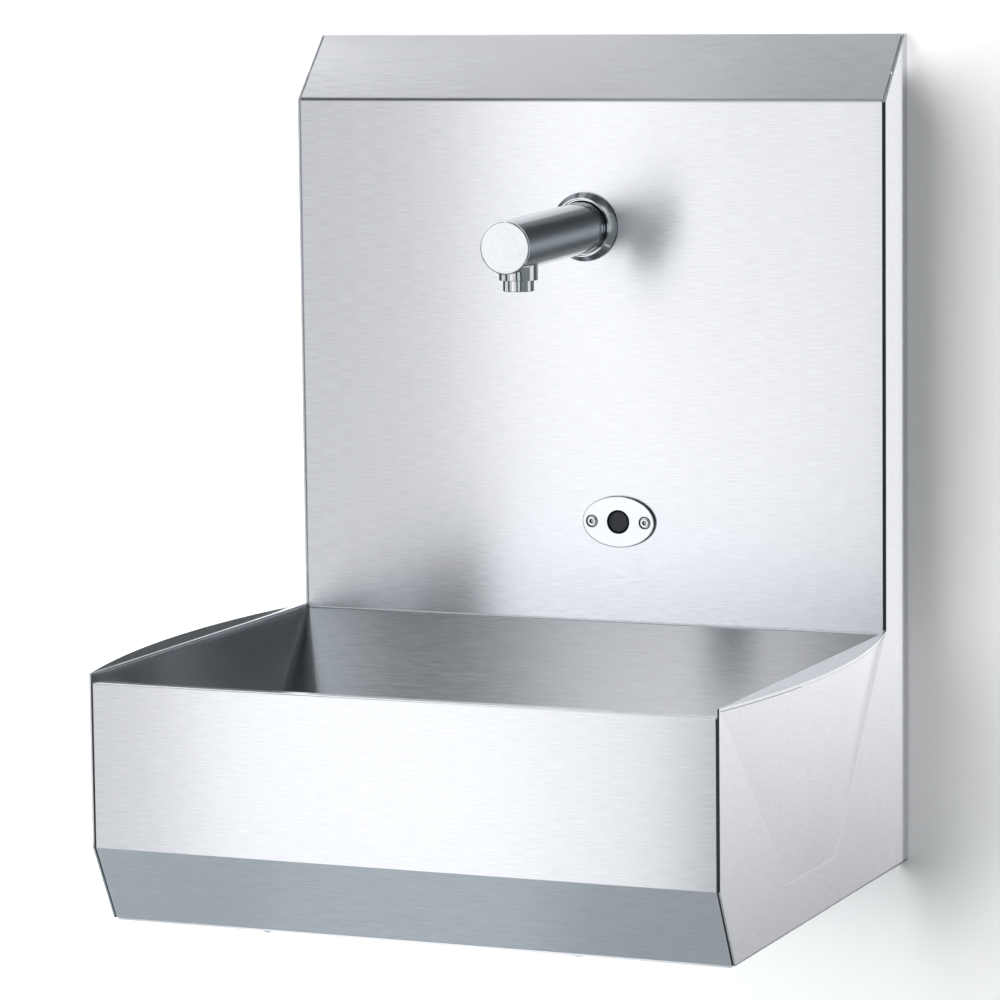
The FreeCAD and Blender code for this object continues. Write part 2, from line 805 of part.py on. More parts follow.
def spout_elbow():
    start = "washer_thickness + spout_nut_height"
    end = f"{start} + elbow_length"
    socket = f"{start} + elbow_socket"
    body = turned("spout_elbow", [
        ("shank_diameter / 2 + thread_clearance", start),
        ("elbow_diameter / 2", start),
        ("elbow_diameter / 2", f"{end} - gauge"),
        ("elbow_diameter / 2 - gauge", end),
        ("0", end),
        ("0", f"{end} - 2 * gauge"),
        ("spout_bore / 2", f"{end} - 2 * gauge"),
        ("spout_bore / 2", socket),
        ("shank_diameter / 2 + thread_clearance", socket),
    ])
    axis = f"{start} + elbow_length / 2 + elbow_socket / 2 - gauge"
    nipple = sketch_on(body, "XZ_Plane", "-elbow_drop")
    circle(nipple, "nipple_diameter", "0", axis)
    pad(body, nipple, "elbow_drop - shank_diameter / 2 - gauge")
    bore = sketch_on(body, "XZ_Plane", "-elbow_drop")
    circle(bore, "outlet_bore", "0", axis)
    pocket(body, bore, "elbow_drop", onwards=True)
    socket_bore = sketch_on(body, "XZ_Plane", "-elbow_drop")
    circle(socket_bore, "tube_diameter + 2 * thread_clearance", "0", axis)
    pocket(body, socket_bore, "tube_entry", onwards=True)
    keep(body, "spout_elbow", "0", PANEL_REAR, "spout_height", BACKWARD)


def aerator():
    y = f"{PANEL_FRONT} - (spout_reach - outlet_setback)"
    z = f"spout_height - {OUTLET_DROP}"
    hole = "aerator_diameter / 2 - aerator_wall"
    body = turned("aerator_sleeve", [
        (hole, "-aerator_grip"),
        ("aerator_thread / 2", "-aerator_grip"),
        ("aerator_thread / 2", "0"),
        ("aerator_diameter / 2", "0"),
        ("aerator_diameter / 2", "aerator_drop"),
        (f"{hole} - aerator_wall / 2", "aerator_drop"),
        (f"{hole} - aerator_wall / 2", "aerator_drop - aerator_wall / 2"),
        (hole, "aerator_drop - aerator_wall / 2"),
    ])
    low = value("aerator_drop")
    wide = value("aerator_diameter / 2")
    round_edges(body, "aerator_wall / 3", lambda edge: all(
        abs(vertex.Z - low) < TOUCH and abs(vertex.X - wide) < TOUCH for vertex in edge.Vertexes))
    keep(body, "aerator_sleeve", "0", y, z, DOWN)
    insert = new_body("aerator_insert")
    top, bottom = "-aerator_grip", "aerator_drop - aerator_wall / 2"
    core = sketch_on(insert, "XY_Plane", f"{bottom} - aerator_grid")
    circle(core, f"2 * ({hole} - thread_clearance)")
    pad(insert, core, "aerator_grid")
    wall = sketch_on(insert, "XY_Plane", top)
    circle(wall, f"2 * ({hole} - thread_clearance)")
    circle(wall, f"2 * ({hole} - thread_clearance - aerator_wall / 2)")
    pad(insert, wall, f"{bottom} - ({top})")
    for band in ("inner", "outer"):
        holes = sketch_on(insert, "XY_Plane", bottom)
        circle(holes, "grid_hole", f"grid_{band}_ring / 2", "0")
        drill = pocket(insert, holes, "2 * aerator_grid", both_ways=True)
        pattern(insert, drill, f"grid_{band}_count")
    keep(insert, "aerator_insert", "0", y, z, DOWN)
    body = ring("aerator_seal", "spout_bore", "aerator_thread", "-(aerator_grip + aerator_seal)", "-aerator_grip")
    keep(body, "aerator_seal", "0", y, z, DOWN)


# Sensor, with its own axis running forward from the panel

def oval(name, width, height, low, thickness):
    """An elliptical plate on the sensor's axis."""
    edge = doc.addObject("Part::Ellipse", f"{name}_edge")
    bind(edge, MajorRadius=f"({width}) / 2", MinorRadius=f"({height}) / 2")
    place(edge, "0", "0", low)
    plate = doc.addObject("Part::Extrusion", f"{name}_plate")
    plate.Base = edge
    plate.DirMode = "Custom"
    plate.Dir = V(0, 0, 1)
    plate.Solid = True
    bind(plate, LengthFwd=thickness)
    return plate


def screw_discs(name, diameter, length, low):
    """A disc at each of the two screws."""
    return [cylinder(name, diameter, length, f"{side}sensor_screw_pitch / 2", "0", low) for side in ("", "-")]


def sensor_drills(name, low, length, window, screw):
    """Drills for the window and the two screws."""
    return [cylinder(f"{name}_window", window, length, "0", "0", low),
            *screw_discs(f"{name}_screw", screw, length, low)]


def sensor_front():
    hole = "window_diameter + 2 * window_clearance"
    screw = "sensor_screw_diameter + hole_clearance"
    face = "gasket_thickness + plate_thickness"
    plate = oval("sensor_plate", "plate_width", "plate_height", "gasket_thickness", "plate_thickness")
    doc.recompute()
    front = value(face)
    rim = doc.addObject("Part::Fillet", "sensor_plate_rim")
    rim.Base = plate
    radius = value("plate_edge")
    rim.Edges = [(number, radius, radius) for number, edge in enumerate(plate.Shape.Edges, 1)
                 if all(abs(vertex.Z - front) < TOUCH for vertex in edge.Vertexes)]
    drills = sensor_drills("sensor_plate", "0", "gasket_thickness + 2 * plate_thickness", hole, screw)
    drills += screw_discs("sensor_seat", "seat_diameter", "2 * seat_depth", f"{face} - seat_depth")
    keep(cut_away("sensor_plate", rim, drills), "sensor_plate", "sensor_offset", PANEL_FRONT, "sensor_height", FORWARD)
    gasket = oval("sensor_gasket", "plate_width - 2 * plate_inset", "plate_height - 2 * plate_inset",
                  "0", "gasket_thickness")
    ears = screw_discs("sensor_ear", f"{screw} + 2 * ear_margin", "gasket_thickness", "0")
    skirt = fused("sensor_skirt", [gasket, *ears])
    skirt.Refine = True
    drills = sensor_drills("sensor_gasket", "-gasket_thickness", "3 * gasket_thickness", hole, screw)
    keep(cut_away("sensor_gasket", skirt, drills), "sensor_gasket", "sensor_offset", PANEL_FRONT, "sensor_height",
         FORWARD)
    body = turned("sensor_window", [
        ("0", "-gauge"),
        ("window_diameter / 2", "-gauge"),
        ("window_diameter / 2", "gasket_thickness + plate_thickness - window_recess"),
        ("0", "gasket_thickness + plate_thickness - window_recess"),
    ])
    keep(body, "sensor_window", "sensor_offset", PANEL_FRONT, "sensor_height", FORWARD)


def sensor_screws():
    """Low cap heads with a hexagon socket, each in a round seat of the plate."""
    seat = "gasket_thickness + plate_thickness - seat_depth"
    head = f"{seat} + cap_height"
    body = turned("sensor_screw", [
        ("0", f"{seat} - cap_length"),
        ("sensor_screw_diameter / 2", f"{seat} - cap_length"),
        ("sensor_screw_diameter / 2", seat),
        ("cap_diameter / 2", seat),
        ("cap_diameter / 2", f"{head} - cap_edge"),
        ("cap_diameter / 2 - cap_edge", head),
        ("0", head),
    ])
    socket = sketch_on(body, "XY_Plane", head)
    hexagon(socket, "cap_socket")
    pocket(body, socket, "socket_depth")
    spots = [(f"sensor_offset {side} sensor_screw_pitch / 2", PANEL_FRONT, "sensor_height", FORWARD)
             for side in ("+", "-")]
    keep(copies("sensor_screws", body, spots), "sensor_screws")


def sensor_housing():
    """A flange with two screw bosses and a closed barrel behind the panel."""
    flange = oval("sensor_housing", "plate_width - 2 * plate_inset", "plate_height - 2 * plate_inset",
                  "0", "housing_flange")
    barrel = cylinder("sensor_barrel", "barrel_diameter", "barrel_length", "0", "0", "0")
    solid = fused("sensor_solid", [flange, barrel])
    drills = screw_discs("sensor_boss_drill", "sensor_screw_diameter + 2 * thread_clearance",
                         "3 * housing_flange", "-housing_flange")
    keep(cut_away("sensor_housing", solid, drills), "sensor_housing", "sensor_offset", PANEL_REAR, "sensor_height",
         BACKWARD)


# Control box, with its own axis running back from the panel

def post_spots():
    x = "(control_width / 2 - post_inset)"
    y = "(control_tall / 2 - post_inset)"
    return [(f"{across}{x}", f"{along}{y}") for across in ("", "-") for along in ("", "-")]


def stand_spots():
    """The board stands on four pegs below the cells."""
    x = "(board_width / 2 - post_inset)"
    rows = ("board_low + post_inset", "board_low + board_tall - post_inset")
    rows = [row.replace("board_low", "(control_tall / 2 - control_wall - post_inset - board_tall)") for row in rows]
    return [(f"{across}{x}", row) for across in ("", "-") for row in rows]


def control_box():
    half_x, half_y = "control_width / 2", "control_tall / 2"
    body = new_body("control_box")
    block(body, (f"-{half_x}", half_x), (f"-{half_y}", half_y), ("pad_thickness", "pad_thickness + control_wall"))
    walls = sketch_on(body, "XY_Plane", "pad_thickness")
    rectangle(walls, f"-{half_x}", f"-{half_y}", half_x, half_y)
    rectangle(walls, f"-({half_x} - control_wall)", f"-({half_y} - control_wall)",
              f"{half_x} - control_wall", f"{half_y} - control_wall")
    pad(body, walls, "control_deep")
    for x, y in post_spots():
        post = sketch_on(body, "XY_Plane", "pad_thickness")
        circle(post, "post_diameter", x, y)
        pad(body, post, "control_deep")
    holes = sketch_on(body, "XY_Plane", "pad_thickness + control_deep")
    for x, y in post_spots():
        circle(holes, "lid_screw_diameter + 2 * thread_clearance", x, y)
    pocket(body, holes, "lid_screw_length")
    for x, y in stand_spots():
        stand = sketch_on(body, "XY_Plane", "pad_thickness")
        circle(stand, "post_inset", x, y)
        pad(body, stand, "control_wall + board_stand")
    seat = dict(x="control_offset", y=PANEL_REAR, z="control_level", turn=BACKWARD)
    keep(body, "control_box", **seat)
    lid = new_body("control_lid")
    plan = sketch_on(lid, "XY_Plane", "pad_thickness + control_deep")
    rectangle(plan, f"-{half_x}", f"-{half_y}", half_x, half_y)
    for x, y in post_spots():
        circle(plan, "lid_screw_diameter + hole_clearance", x, y)
    pad(lid, plan, "lid_thickness")
    keep(lid, "control_lid", **seat)
    tape = new_body("control_pad")
    block(tape, (f"-({half_x} - pad_margin)", f"{half_x} - pad_margin"),
          (f"-({half_y} - pad_margin)", f"{half_y} - pad_margin"), ("0", "pad_thickness"))
    keep(tape, "control_pad", **seat)
    screw = turned("lid_screw", [
        ("0", "-(lid_screw_length - control_wall)"),
        ("lid_screw_diameter / 2", "-(lid_screw_length - control_wall)"),
        ("lid_screw_diameter / 2", "0"),
        ("lid_screw_head / 2", "0"),
        ("lid_screw_head / 2", "lid_screw_diameter / 2"),
        ("0", "lid_screw_diameter / 2"),
    ])
    rear = f"{PANEL_REAR} + pad_thickness + control_deep + lid_thickness"
    spots = [(f"control_offset + {x}", rear, f"control_level - {y}", BACKWARD) for x, y in post_spots()]
    keep(copies("control_lid_screws", screw, spots), "control_lid_screws")


def circuit_board():
    low = "(control_tall / 2 - control_wall - post_inset - board_tall)"
    deck = "pad_thickness + control_wall + board_stand"
    top = f"{deck} + board_thickness"
    body = new_body("circuit_board")
    block(body, ("-board_width / 2", "board_width / 2"), (low, f"{low} + board_tall"), (deck, top))
    block(body, ("-board_width / 8", "board_width / 8"), (f"{low} + board_tall / 3", f"{low} + board_tall * 2 / 3"),
          (top, f"{top} + board_thickness"))
    block(body, ("board_width / 4", "board_width / 2 - post_inset"),
          (f"{low} + board_tall / 3", f"{low} + board_tall * 2 / 3"), (top, f"{top} + relay_height"))
    can = sketch_on(body, "XY_Plane", top)
    circle(can, "board_tall / 5", "-board_width / 3", f"{low} + board_tall / 2")
    pad(body, can, "can_height")
    keep(body, "circuit_board", "control_offset", PANEL_REAR, "control_level", BACKWARD)


def cell_row():
    """Heights of the cell axes across the box."""
    step = "(cell_diameter + cell_gap)"
    start = "(-control_tall / 2 + control_wall + holder_wall + cell_gap + cell_diameter / 2)"
    return [f"{start} + {number} * {step}" for number in range(4)]


def batteries():
    deck = "pad_thickness + control_wall"
    reach = "(cell_length / 2 + cell_gap)"
    low, high = "-(control_tall / 2 - control_wall)", f"{cell_row()[-1]} + cell_diameter / 2 + cell_gap"
    body = new_body("battery_holder")
    block(body, (f"-({reach} + holder_wall)", f"{reach} + holder_wall"), (low, high), (deck, f"{deck} + holder_wall"))
    for side in ("-", ""):
        ends = (f"-({reach} + holder_wall)", f"-{reach}") if side else (reach, f"{reach} + holder_wall")
        block(body, ends, (low, high), (deck, f"{deck} + cell_diameter - holder_wall"))
    seat = dict(x="control_offset", y=PANEL_REAR, z="control_level", turn=BACKWARD)
    keep(body, "battery_holder", **seat)
    depth = f"{PANEL_REAR} + {deck} + holder_wall + cell_diameter / 2"
    nub = "cell_diameter / 5"
    cell = turned("cell", [
        ("0", "-cell_length / 2"),
        ("cell_diameter / 2", "-cell_length / 2"),
        ("cell_diameter / 2", f"cell_length / 2 - {nub} / 2"),
        (nub, f"cell_length / 2 - {nub} / 2"),
        (nub, "cell_length / 2"),
        ("0", "cell_length / 2"),
    ])
    spots = [("control_offset", depth, f"control_level - ({row})", LEFTWARD) for row in cell_row()]
    keep(copies("batteries", cell, spots), "batteries")


# Inlets, each with its own axis running back to the wall through the ball

def stop_place(side):
    return dict(x=f"{side}inlet_pitch / 2", y="-(rail_depth + gauge + stop_length / 2)", z="inlet_height")


def stop_valve(name, side):
    half = "stop_length / 2"
    tail = f"{half} + gauge + locknut_height + inlet_tail"
    body = turned(f"{name}_stop_body", [
        ("inlet_bore / 2", f"-{half}"),
        ("stop_diameter / 2", f"-{half}"),
        ("stop_diameter / 2", half),
        ("inlet_shank / 2", half),
        ("inlet_shank / 2", f"{tail} - inlet_tail"),
        ("inlet_thread / 2", f"{tail} - inlet_tail"),
        ("inlet_thread / 2", tail),
        ("inlet_bore / 2", tail),
    ])
    cavity = body.newObject("PartDesign::SubtractiveSphere", f"{name}_cavity")
    bind(cavity, Radius="ball_diameter / 2 + ball_clearance")
    neck = sketch_on(body, "XZ_Plane", "-stop_diameter")
    circle(neck, "stem_diameter + 2 * stem_clearance")
    pocket(body, neck, "stop_diameter", onwards=True)
    keep(body, f"{name}_stop_body", turn=BACKWARD, **stop_place(side))
    ball = new_body(f"{name}_stop_ball")
    core = ball.newObject("PartDesign::AdditiveSphere", f"{name}_core")
    bind(core, Radius="ball_diameter / 2")
    stem = sketch_on(ball, "XZ_Plane")
    circle(stem, "stem_diameter")
    pad(ball, stem, "stop_diameter / 2 + lever_drop + hub_height", backwards=True)
    way = sketch_on(ball, "XY_Plane")
    circle(way, "inlet_bore")
    pocket(ball, way, "2 * ball_diameter", both_ways=True)
    keep(ball, f"{name}_stop_ball", turn=BACKWARD, **stop_place(side))
    lever = stop_lever(f"{name}_lever")
    keep(lever, f"{name}_lever", turn=DOWN, **stop_place(side))


def stop_lever(name):
    """A flat handle on a round hub, pointing forward when the valve is open."""
    top = "stop_diameter / 2 + lever_drop"
    bottom = f"{top} + hub_height"
    body = new_body(name)
    hub = sketch_on(body, "XY_Plane", top)
    circle(hub, "lever_width")
    pad(body, hub, "hub_height")
    handle = sketch_on(body, "XY_Plane", f"{bottom} - lever_thickness")
    rectangle(handle, "-lever_width / 3", "0", "lever_width / 3", "lever_length - lever_width / 2")
    pad(body, handle, "lever_thickness")
    tip = sketch_on(body, "XY_Plane", f"{bottom} - lever_thickness")
    circle(tip, "lever_width", "0", "lever_length - lever_width / 2")
    pad(body, tip, "lever_thickness")
    bore = sketch_on(body, "XY_Plane", top)
    circle(bore, "stem_diameter + 2 * thread_clearance")
    pocket(body, bore, "hub_height", onwards=True)
    return body


def inlet_locknuts():
    body = nut("locknut", "locknut_flats", "inlet_shank + 2 * thread_clearance", "0", "locknut_height")
    spots = [(f"{side}inlet_pitch / 2", "-rail_depth", "inlet_height", BACKWARD) for side in ("", "-")]
    keep(copies("inlet_locknuts", body, spots), "inlet_locknuts")


# Mixer, with its plug axis running down

MIXER_Y = "-(rail_depth + gauge + stop_length + mixer_reach)"


def mixer_body():
    half = "mixer_length / 2"
    body = new_body("mixer_body")
    bar = sketch_on(body, "YZ_Plane", f"-{half}")
    circle(bar, "mixer_diameter")
    pad(body, bar, "mixer_length")
    for side in ("", "-"):
        inlet = sketch_on(body, "XZ_Plane", "-mixer_reach")
        circle(inlet, "mixer_boss", f"{side}inlet_pitch / 2", "0")
        pad(body, inlet, "mixer_reach")
    tower = sketch_on(body, "XY_Plane", "-mixer_rise")
    circle(tower, "mixer_boss")
    pad(body, tower, "2 * mixer_rise")
    gallery = sketch_on(body, "YZ_Plane")
    circle(gallery, "gallery_bore")
    pocket(body, gallery, "inlet_pitch + gallery_bore", both_ways=True)
    for side in ("", "-"):
        way = sketch_on(body, "XZ_Plane", "-mixer_reach")
        circle(way, "inlet_bore", f"{side}inlet_pitch / 2", "0")
        pocket(body, way, "mixer_reach", onwards=True)
    bore = sketch_on(body, "XY_Plane", "-mixer_rise")
    circle(bore, "plug_diameter + 2 * stem_clearance")
    pocket(body, bore, "mixer_rise + plug_length / 2 + ball_clearance", onwards=True)
    outlet = sketch_on(body, "XY_Plane", "mixer_rise")
    circle(outlet, "plug_bore")
    pocket(body, outlet, "mixer_rise")
    keep(body, "mixer_body", "0", MIXER_Y, "inlet_height")


def mixer_plug():
    """A turning plug with a cross way, on a spindle that leaves through the bonnet."""
    half = "plug_length / 2"
    end = "mixer_rise + bonnet_height + knob_gap + knob_height"
    body = turned("mixer_plug", [
        ("0", f"-{half}"),
        ("plug_diameter / 2", f"-{half}"),
        ("plug_diameter / 2", half),
        ("spindle_diameter / 2", half),
        ("spindle_diameter / 2", f"{end} - gauge"),
        ("0", f"{end} - gauge"),
    ])
    cross = sketch_on(body, "YZ_Plane")
    circle(cross, "plug_bore")
    pocket(body, cross, "2 * plug_diameter", both_ways=True)
    rise = sketch_on(body, "XY_Plane", f"-{half}")
    circle(rise, "plug_rise")
    pocket(body, rise, half, onwards=True)
    keep(body, "mixer_plug", "0", MIXER_Y, "inlet_height", DOWN)


def mixer_bonnet():
    """A hexagon collar whose thread closes the plug's bore."""
    body = new_body("mixer_bonnet")
    collar = sketch_on(body, "XY_Plane", "mixer_rise")
    hexagon(collar, "bonnet_flats")
    pad(body, collar, "bonnet_height")
    spigot = sketch_on(body, "XY_Plane", "plug_length / 2 + ball_clearance")
    circle(spigot, "plug_diameter")
    pad(body, spigot, "mixer_rise - plug_length / 2 - ball_clearance")
    bore = sketch_on(body, "XY_Plane")
    circle(bore, "spindle_diameter + 2 * stem_clearance")
    pocket(body, bore, "mixer_rise + bonnet_height", onwards=True)
    keep(body, "mixer_bonnet", "0", MIXER_Y, "inlet_height", DOWN)


def mixer_knob():
    """A fluted temperature knob, turned from below."""
    start = "mixer_rise + bonnet_height + knob_gap"
    body = new_body("mixer_knob")
    grip = sketch_on(body, "XY_Plane", start)
    circle(grip, "knob_diameter")
    pad(body, grip, "knob_height")
    flute = sketch_on(body, "XY_Plane", start)
    circle(flute, "knob_flute", "knob_diameter / 2", "0")
    pattern(body, pocket(body, flute, "knob_height", onwards=True), "knob_flute_count")
    bore = sketch_on(body, "XY_Plane", start)
    circle(bore, "spindle_diameter + 2 * thread_clearance")
    pocket(body, bore, "knob_height - gauge", onwards=True)
    keep(body, "mixer_knob", "0", MIXER_Y, "inlet_height", DOWN)


# Solenoid valve, upright on the mixer, with heights from the middle of its block

VALVE_Z = "inlet_height + mixer_rise + valve_block / 2"
SEAT_FLOOR = "(valve_block / 2 - chamber_depth)"
SEAT_TOP = f"({SEAT_FLOOR} + seat_rise)"
PLUNGER_FOOT = f"({SEAT_TOP} + seat_gap + seal_thickness / 2)"
PLUNGER_TOP = f"({PLUNGER_FOOT} + plunger_length)"
CORE_STOP = f"({PLUNGER_TOP} + spring_length)"
CORE_TOP = f"({CORE_STOP} + core_end)"


def solenoid_body():
    half = "valve_block / 2"
    body = new_body("solenoid_body")
    block(body, (f"-{half}", half), (f"-{half}", half), (f"-{half}", half))
    nipple = sketch_on(body, "YZ_Plane", f"-({half} + nipple_length)")
    circle(nipple, "nipple_diameter", "0", f"{SEAT_FLOOR} - nipple_diameter / 2")
    pad(body, nipple, "nipple_length + gauge")
    chamber = sketch_on(body, "XY_Plane", half)
    circle(chamber, "chamber_diameter")
    circle(chamber, "seat_diameter")
    pocket(body, chamber, "chamber_depth")
    seat = sketch_on(body, "XY_Plane", half)
    circle(seat, "seat_diameter")
    pocket(body, seat, "chamber_depth - seat_rise")
    orifice = sketch_on(body, "XY_Plane", SEAT_TOP)
    circle(orifice, "orifice_diameter")
    pocket(body, orifice, "seat_rise + nipple_diameter / 2")
    inlet = sketch_on(body, "XY_Plane", f"-{half}")
    circle(inlet, "valve_bore")
    pocket(body, inlet, "nipple_length - seat_rise", onwards=True)
    passage = sketch_on(body, "XY_Plane", f"-{half}")
    circle(passage, "passage_diameter", "(seat_diameter + chamber_diameter) / 4 + gauge / 4", "0")
    pocket(body, passage, f"{half} + {SEAT_FLOOR}", onwards=True)
    for diameter, depth in (("outlet_bore", f"{half} + nipple_length + orifice_diameter / 2"),
                            ("tube_diameter + 2 * thread_clearance", "tube_entry")):
        way = sketch_on(body, "YZ_Plane", f"-({half} + nipple_length)")
        circle(way, diameter, "0", f"{SEAT_FLOOR} - nipple_diameter / 2")
        pocket(body, way, depth, onwards=True)
    keep(body, "solenoid_body", "0", MIXER_Y, VALVE_Z)


def core_tube():
    """The bonnet screws into the chamber and carries the closed tube that guides the plunger."""
    half = "valve_block / 2"
    bore = "plunger_diameter / 2 + plunger_clearance"
    shoulder = f"{half} + bonnet_thickness"
    body = turned("solenoid_core_tube", [
        (bore, f"{half} - chamber_depth / 3"),
        ("chamber_diameter / 2 - thread_clearance", f"{half} - chamber_depth / 3"),
        ("chamber_diameter / 2 - thread_clearance", half),
        ("bonnet_flange / 2", half),
        ("bonnet_flange / 2", shoulder),
        ("core_diameter / 2", shoulder),
        ("core_diameter / 2", CORE_TOP),
        ("coil_stud / 2", CORE_TOP),
        ("coil_stud / 2", f"{CORE_TOP} + coil_nut_height + gauge"),
        ("0", f"{CORE_TOP} + coil_nut_height + gauge"),
        ("0", CORE_STOP),
        (bore, CORE_STOP),
    ])
    keep(body, "solenoid_core_tube", "0", MIXER_Y, VALVE_Z)


def plunger():
    """A steel plunger with a rubber seal let into its foot."""
    body = turned("plunger", [
        ("0", f"{PLUNGER_FOOT} + seal_thickness / 2"),
        ("seal_diameter / 2", f"{PLUNGER_FOOT} + seal_thickness / 2"),
        ("seal_diameter / 2", PLUNGER_FOOT),
        ("plunger_diameter / 2", PLUNGER_FOOT),
        ("plunger_diameter / 2", PLUNGER_TOP),
        ("0", PLUNGER_TOP),
    ])
    keep(body, "plunger", "0", MIXER_Y, VALVE_Z)
    body = ring("plunger_seal", "0", "seal_diameter", f"{PLUNGER_FOOT} - seal_thickness / 2",
                f"{PLUNGER_FOOT} + seal_thickness / 2")
    keep(body, "plunger_seal", "0", MIXER_Y, VALVE_Z)


def coil():
    shoulder = "valve_block / 2 + bonnet_thickness"
    body = ring("solenoid_coil", "core_diameter + 2 * coil_fit", "coil_diameter", shoulder, CORE_TOP)
    middle = f"({shoulder} + {CORE_TOP}) / 2"
    block(body, ("-plug_socket / 2", "plug_socket / 2"), ("core_diameter", "coil_diameter / 2 + plug_socket / 2"),
          (f"{middle} - plug_socket / 2", f"{middle} + plug_socket / 2"))
    keep(body, "solenoid_coil", "0", MIXER_Y, VALVE_Z)
    body = nut("coil_nut", "coil_nut_flats", "coil_stud + 2 * thread_clearance", CORE_TOP, "coil_nut_height")
    keep(body, "coil_nut", "0", MIXER_Y, VALVE_Z)


def return_spring():
    """One wire wound in half turns between the plunger and the closed end of its tube."""
    radius = value("plunger_diameter / 2 - plunger_clearance - spring_wire")
    wire = value("spring_wire / 2")
    low = value(f"{PLUNGER_TOP} + spring_gap") + wire
    high = value(f"{CORE_STOP} - spring_gap") - wire
    halves = int(2 * value("spring_turns"))

    def point(half):
        angle = math.pi * half
        return V(radius * math.cos(angle), radius * math.sin(angle), low + (high - low) * half / halves)

    arcs = [Part.Arc(point(n), point(n + 0.5), point(n + 1)).toShape() for n in range(halves)]
    path = Part.Wire(arcs)
    section = Part.Wire(Part.Circle(point(0), V(0, 1, 0), wire).toShape())
    spring = doc.addObject("Part::Feature", "plunger_spring")
    spring.Shape = path.makePipeShell([section], True, False)
    turns = path.Length * math.pi * wire ** 2
    print(f"plunger_spring volume {spring.Shape.Volume:.1f}, wire times length {turns:.1f}")
    keep(spring, "plunger_spring", "0", MIXER_Y, VALVE_Z)


# Supply tube from the solenoid valve to the elbow

TUBE_Z = f"{VALVE_Z} + {SEAT_FLOOR} - nipple_diameter / 2"
ELBOW_Y = f"{PANEL_REAR} + washer_thickness + spout_nut_height + elbow_length / 2 + elbow_socket / 2 - gauge"


def bent_path(points, radius):
    """Straight runs joined by tangent arcs of one radius."""
    edges = []
    start = points[0]
    for before, corner, after in zip(points, points[1:], points[2:]):
        inward = (before - corner).normalize()
        outward = (after - corner).normalize()
        half = inward.getAngle(outward) / 2
        entry = corner + inward * (radius / math.tan(half))
        leave = corner + outward * (radius / math.tan(half))
        bisector = (inward + outward).normalize()
        crown = corner + bisector * (radius / math.sin(half) - radius)
        edges.append(Part.LineSegment(start, entry).toShape())
        edges.append(Part.Arc(entry, crown, leave).toShape())
        start = leave
    edges.append(Part.LineSegment(start, points[-1]).toShape())
    return Part.Wire(edges)


def supply_tube():
    begin = "-(valve_block / 2 + nipple_length - tube_entry)"
    route = [
        (begin, MIXER_Y, TUBE_Z),
        ("-tube_side", MIXER_Y, TUBE_Z),
        ("-tube_side", MIXER_Y, "tube_low"),
        ("-tube_side", ELBOW_Y, "tube_mid"),
        ("-tube_side", ELBOW_Y, "tube_cross"),
        ("0", ELBOW_Y, "tube_cross + tube_side / 2"),
        ("0", ELBOW_Y, "spout_height - elbow_drop + tube_entry"),
    ]
    points = [V(*(value(text) for text in spot)) for spot in route]
    path = bent_path(points, value("tube_bend"))
    outer, inner = (Part.Wire(Part.Circle(points[0], V(1, 0, 0), value(text)).toShape())
                    for text in ("tube_diameter / 2", "tube_diameter / 2 - tube_wall"))
    tube = doc.addObject("Part::Feature", "supply_tube")
    tube.Shape = path.makePipeShell([outer], True, False).cut(path.makePipeShell([inner], True, False))
    wall = math.pi * value("tube_wall * (tube_diameter - tube_wall)") * path.Length
    print(f"supply_tube volume {tube.Shape.Volume:.0f}, wall times length {wall:.0f}")
    keep(tube, "supply_tube")


def tube_nuts():
    """Union nuts that hold the tube on both nipples."""
    body = turned("tube_nut", [
        ("tube_diameter / 2 + thread_clearance", "0"),
        ("(tube_nut_flats + tube_nut_corner) / 2", "0"),
        ("(tube_nut_flats + tube_nut_corner) / 2", "-tube_nut_height"),
        ("nipple_diameter / 2 + thread_clearance", "-tube_nut_height"),
        ("nipple_diameter / 2 + thread_clearance", "-(tube_nut_height - nipple_length + gauge)"),
        ("tube_diameter / 2 + thread_clearance", "-(tube_nut_height - nipple_length + gauge)"),
    ])
    flats = sketch_on(body, "XY_Plane")
    hexagon(flats, "tube_nut_flats")
    circle(flats, "2 * tube_nut_flats")
    pocket(body, flats, "tube_nut_height")
    grip = "(tube_nut_height - nipple_length + gauge)"
    spots = [
        (f"-(valve_block / 2 + nipple_length + {grip})", MIXER_Y, TUBE_Z, LEFTWARD),
        ("0", ELBOW_Y, f"spout_height - elbow_drop - {grip}", DOWN),
    ]
    keep(copies("tube_nuts", body, spots), "tube_nuts")


# Waste, with heights from the bowl's floor

def waste_place():
    return dict(x="0", y=DRAIN_Y, z="floor_height")


def strainer():
    top = "waste_seal + waste_rim"
    body = turned("waste_strainer", [
        ("waste_screw / 2 + hole_clearance / 2", "-waste_depth"),
        ("waste_cup / 2", "-waste_depth"),
        ("waste_cup / 2", "waste_seal"),
        ("waste_flange / 2", "waste_seal"),
        ("waste_flange / 2", f"{top} - gauge"),
        ("waste_flange / 2 - gauge", top),
        ("waste_cup / 2", top),
        ("waste_cup / 2 - 2 * gauge", "-waste_depth + gauge"),
        ("waste_screw / 2 + hole_clearance / 2", "-waste_depth + gauge"),
    ])
    hole = sketch_on(body, "XY_Plane", "-waste_depth")
    circle(hole, "strainer_hole", "strainer_ring / 2", "0")
    pattern(body, pocket(body, hole, "4 * gauge", both_ways=True), "strainer_count")
    keep(body, "waste_strainer", **waste_place())
    keep(ring("waste_upper_seal", "waste_hole + gauge", "waste_flange - 2 * gauge", "0", "waste_seal"),
         "waste_upper_seal", **waste_place())
    keep(ring("waste_lower_seal", "waste_hole + gauge", "waste_flange - 2 * gauge", "-(gauge + waste_seal)", "-gauge"),
         "waste_lower_seal", **waste_place())


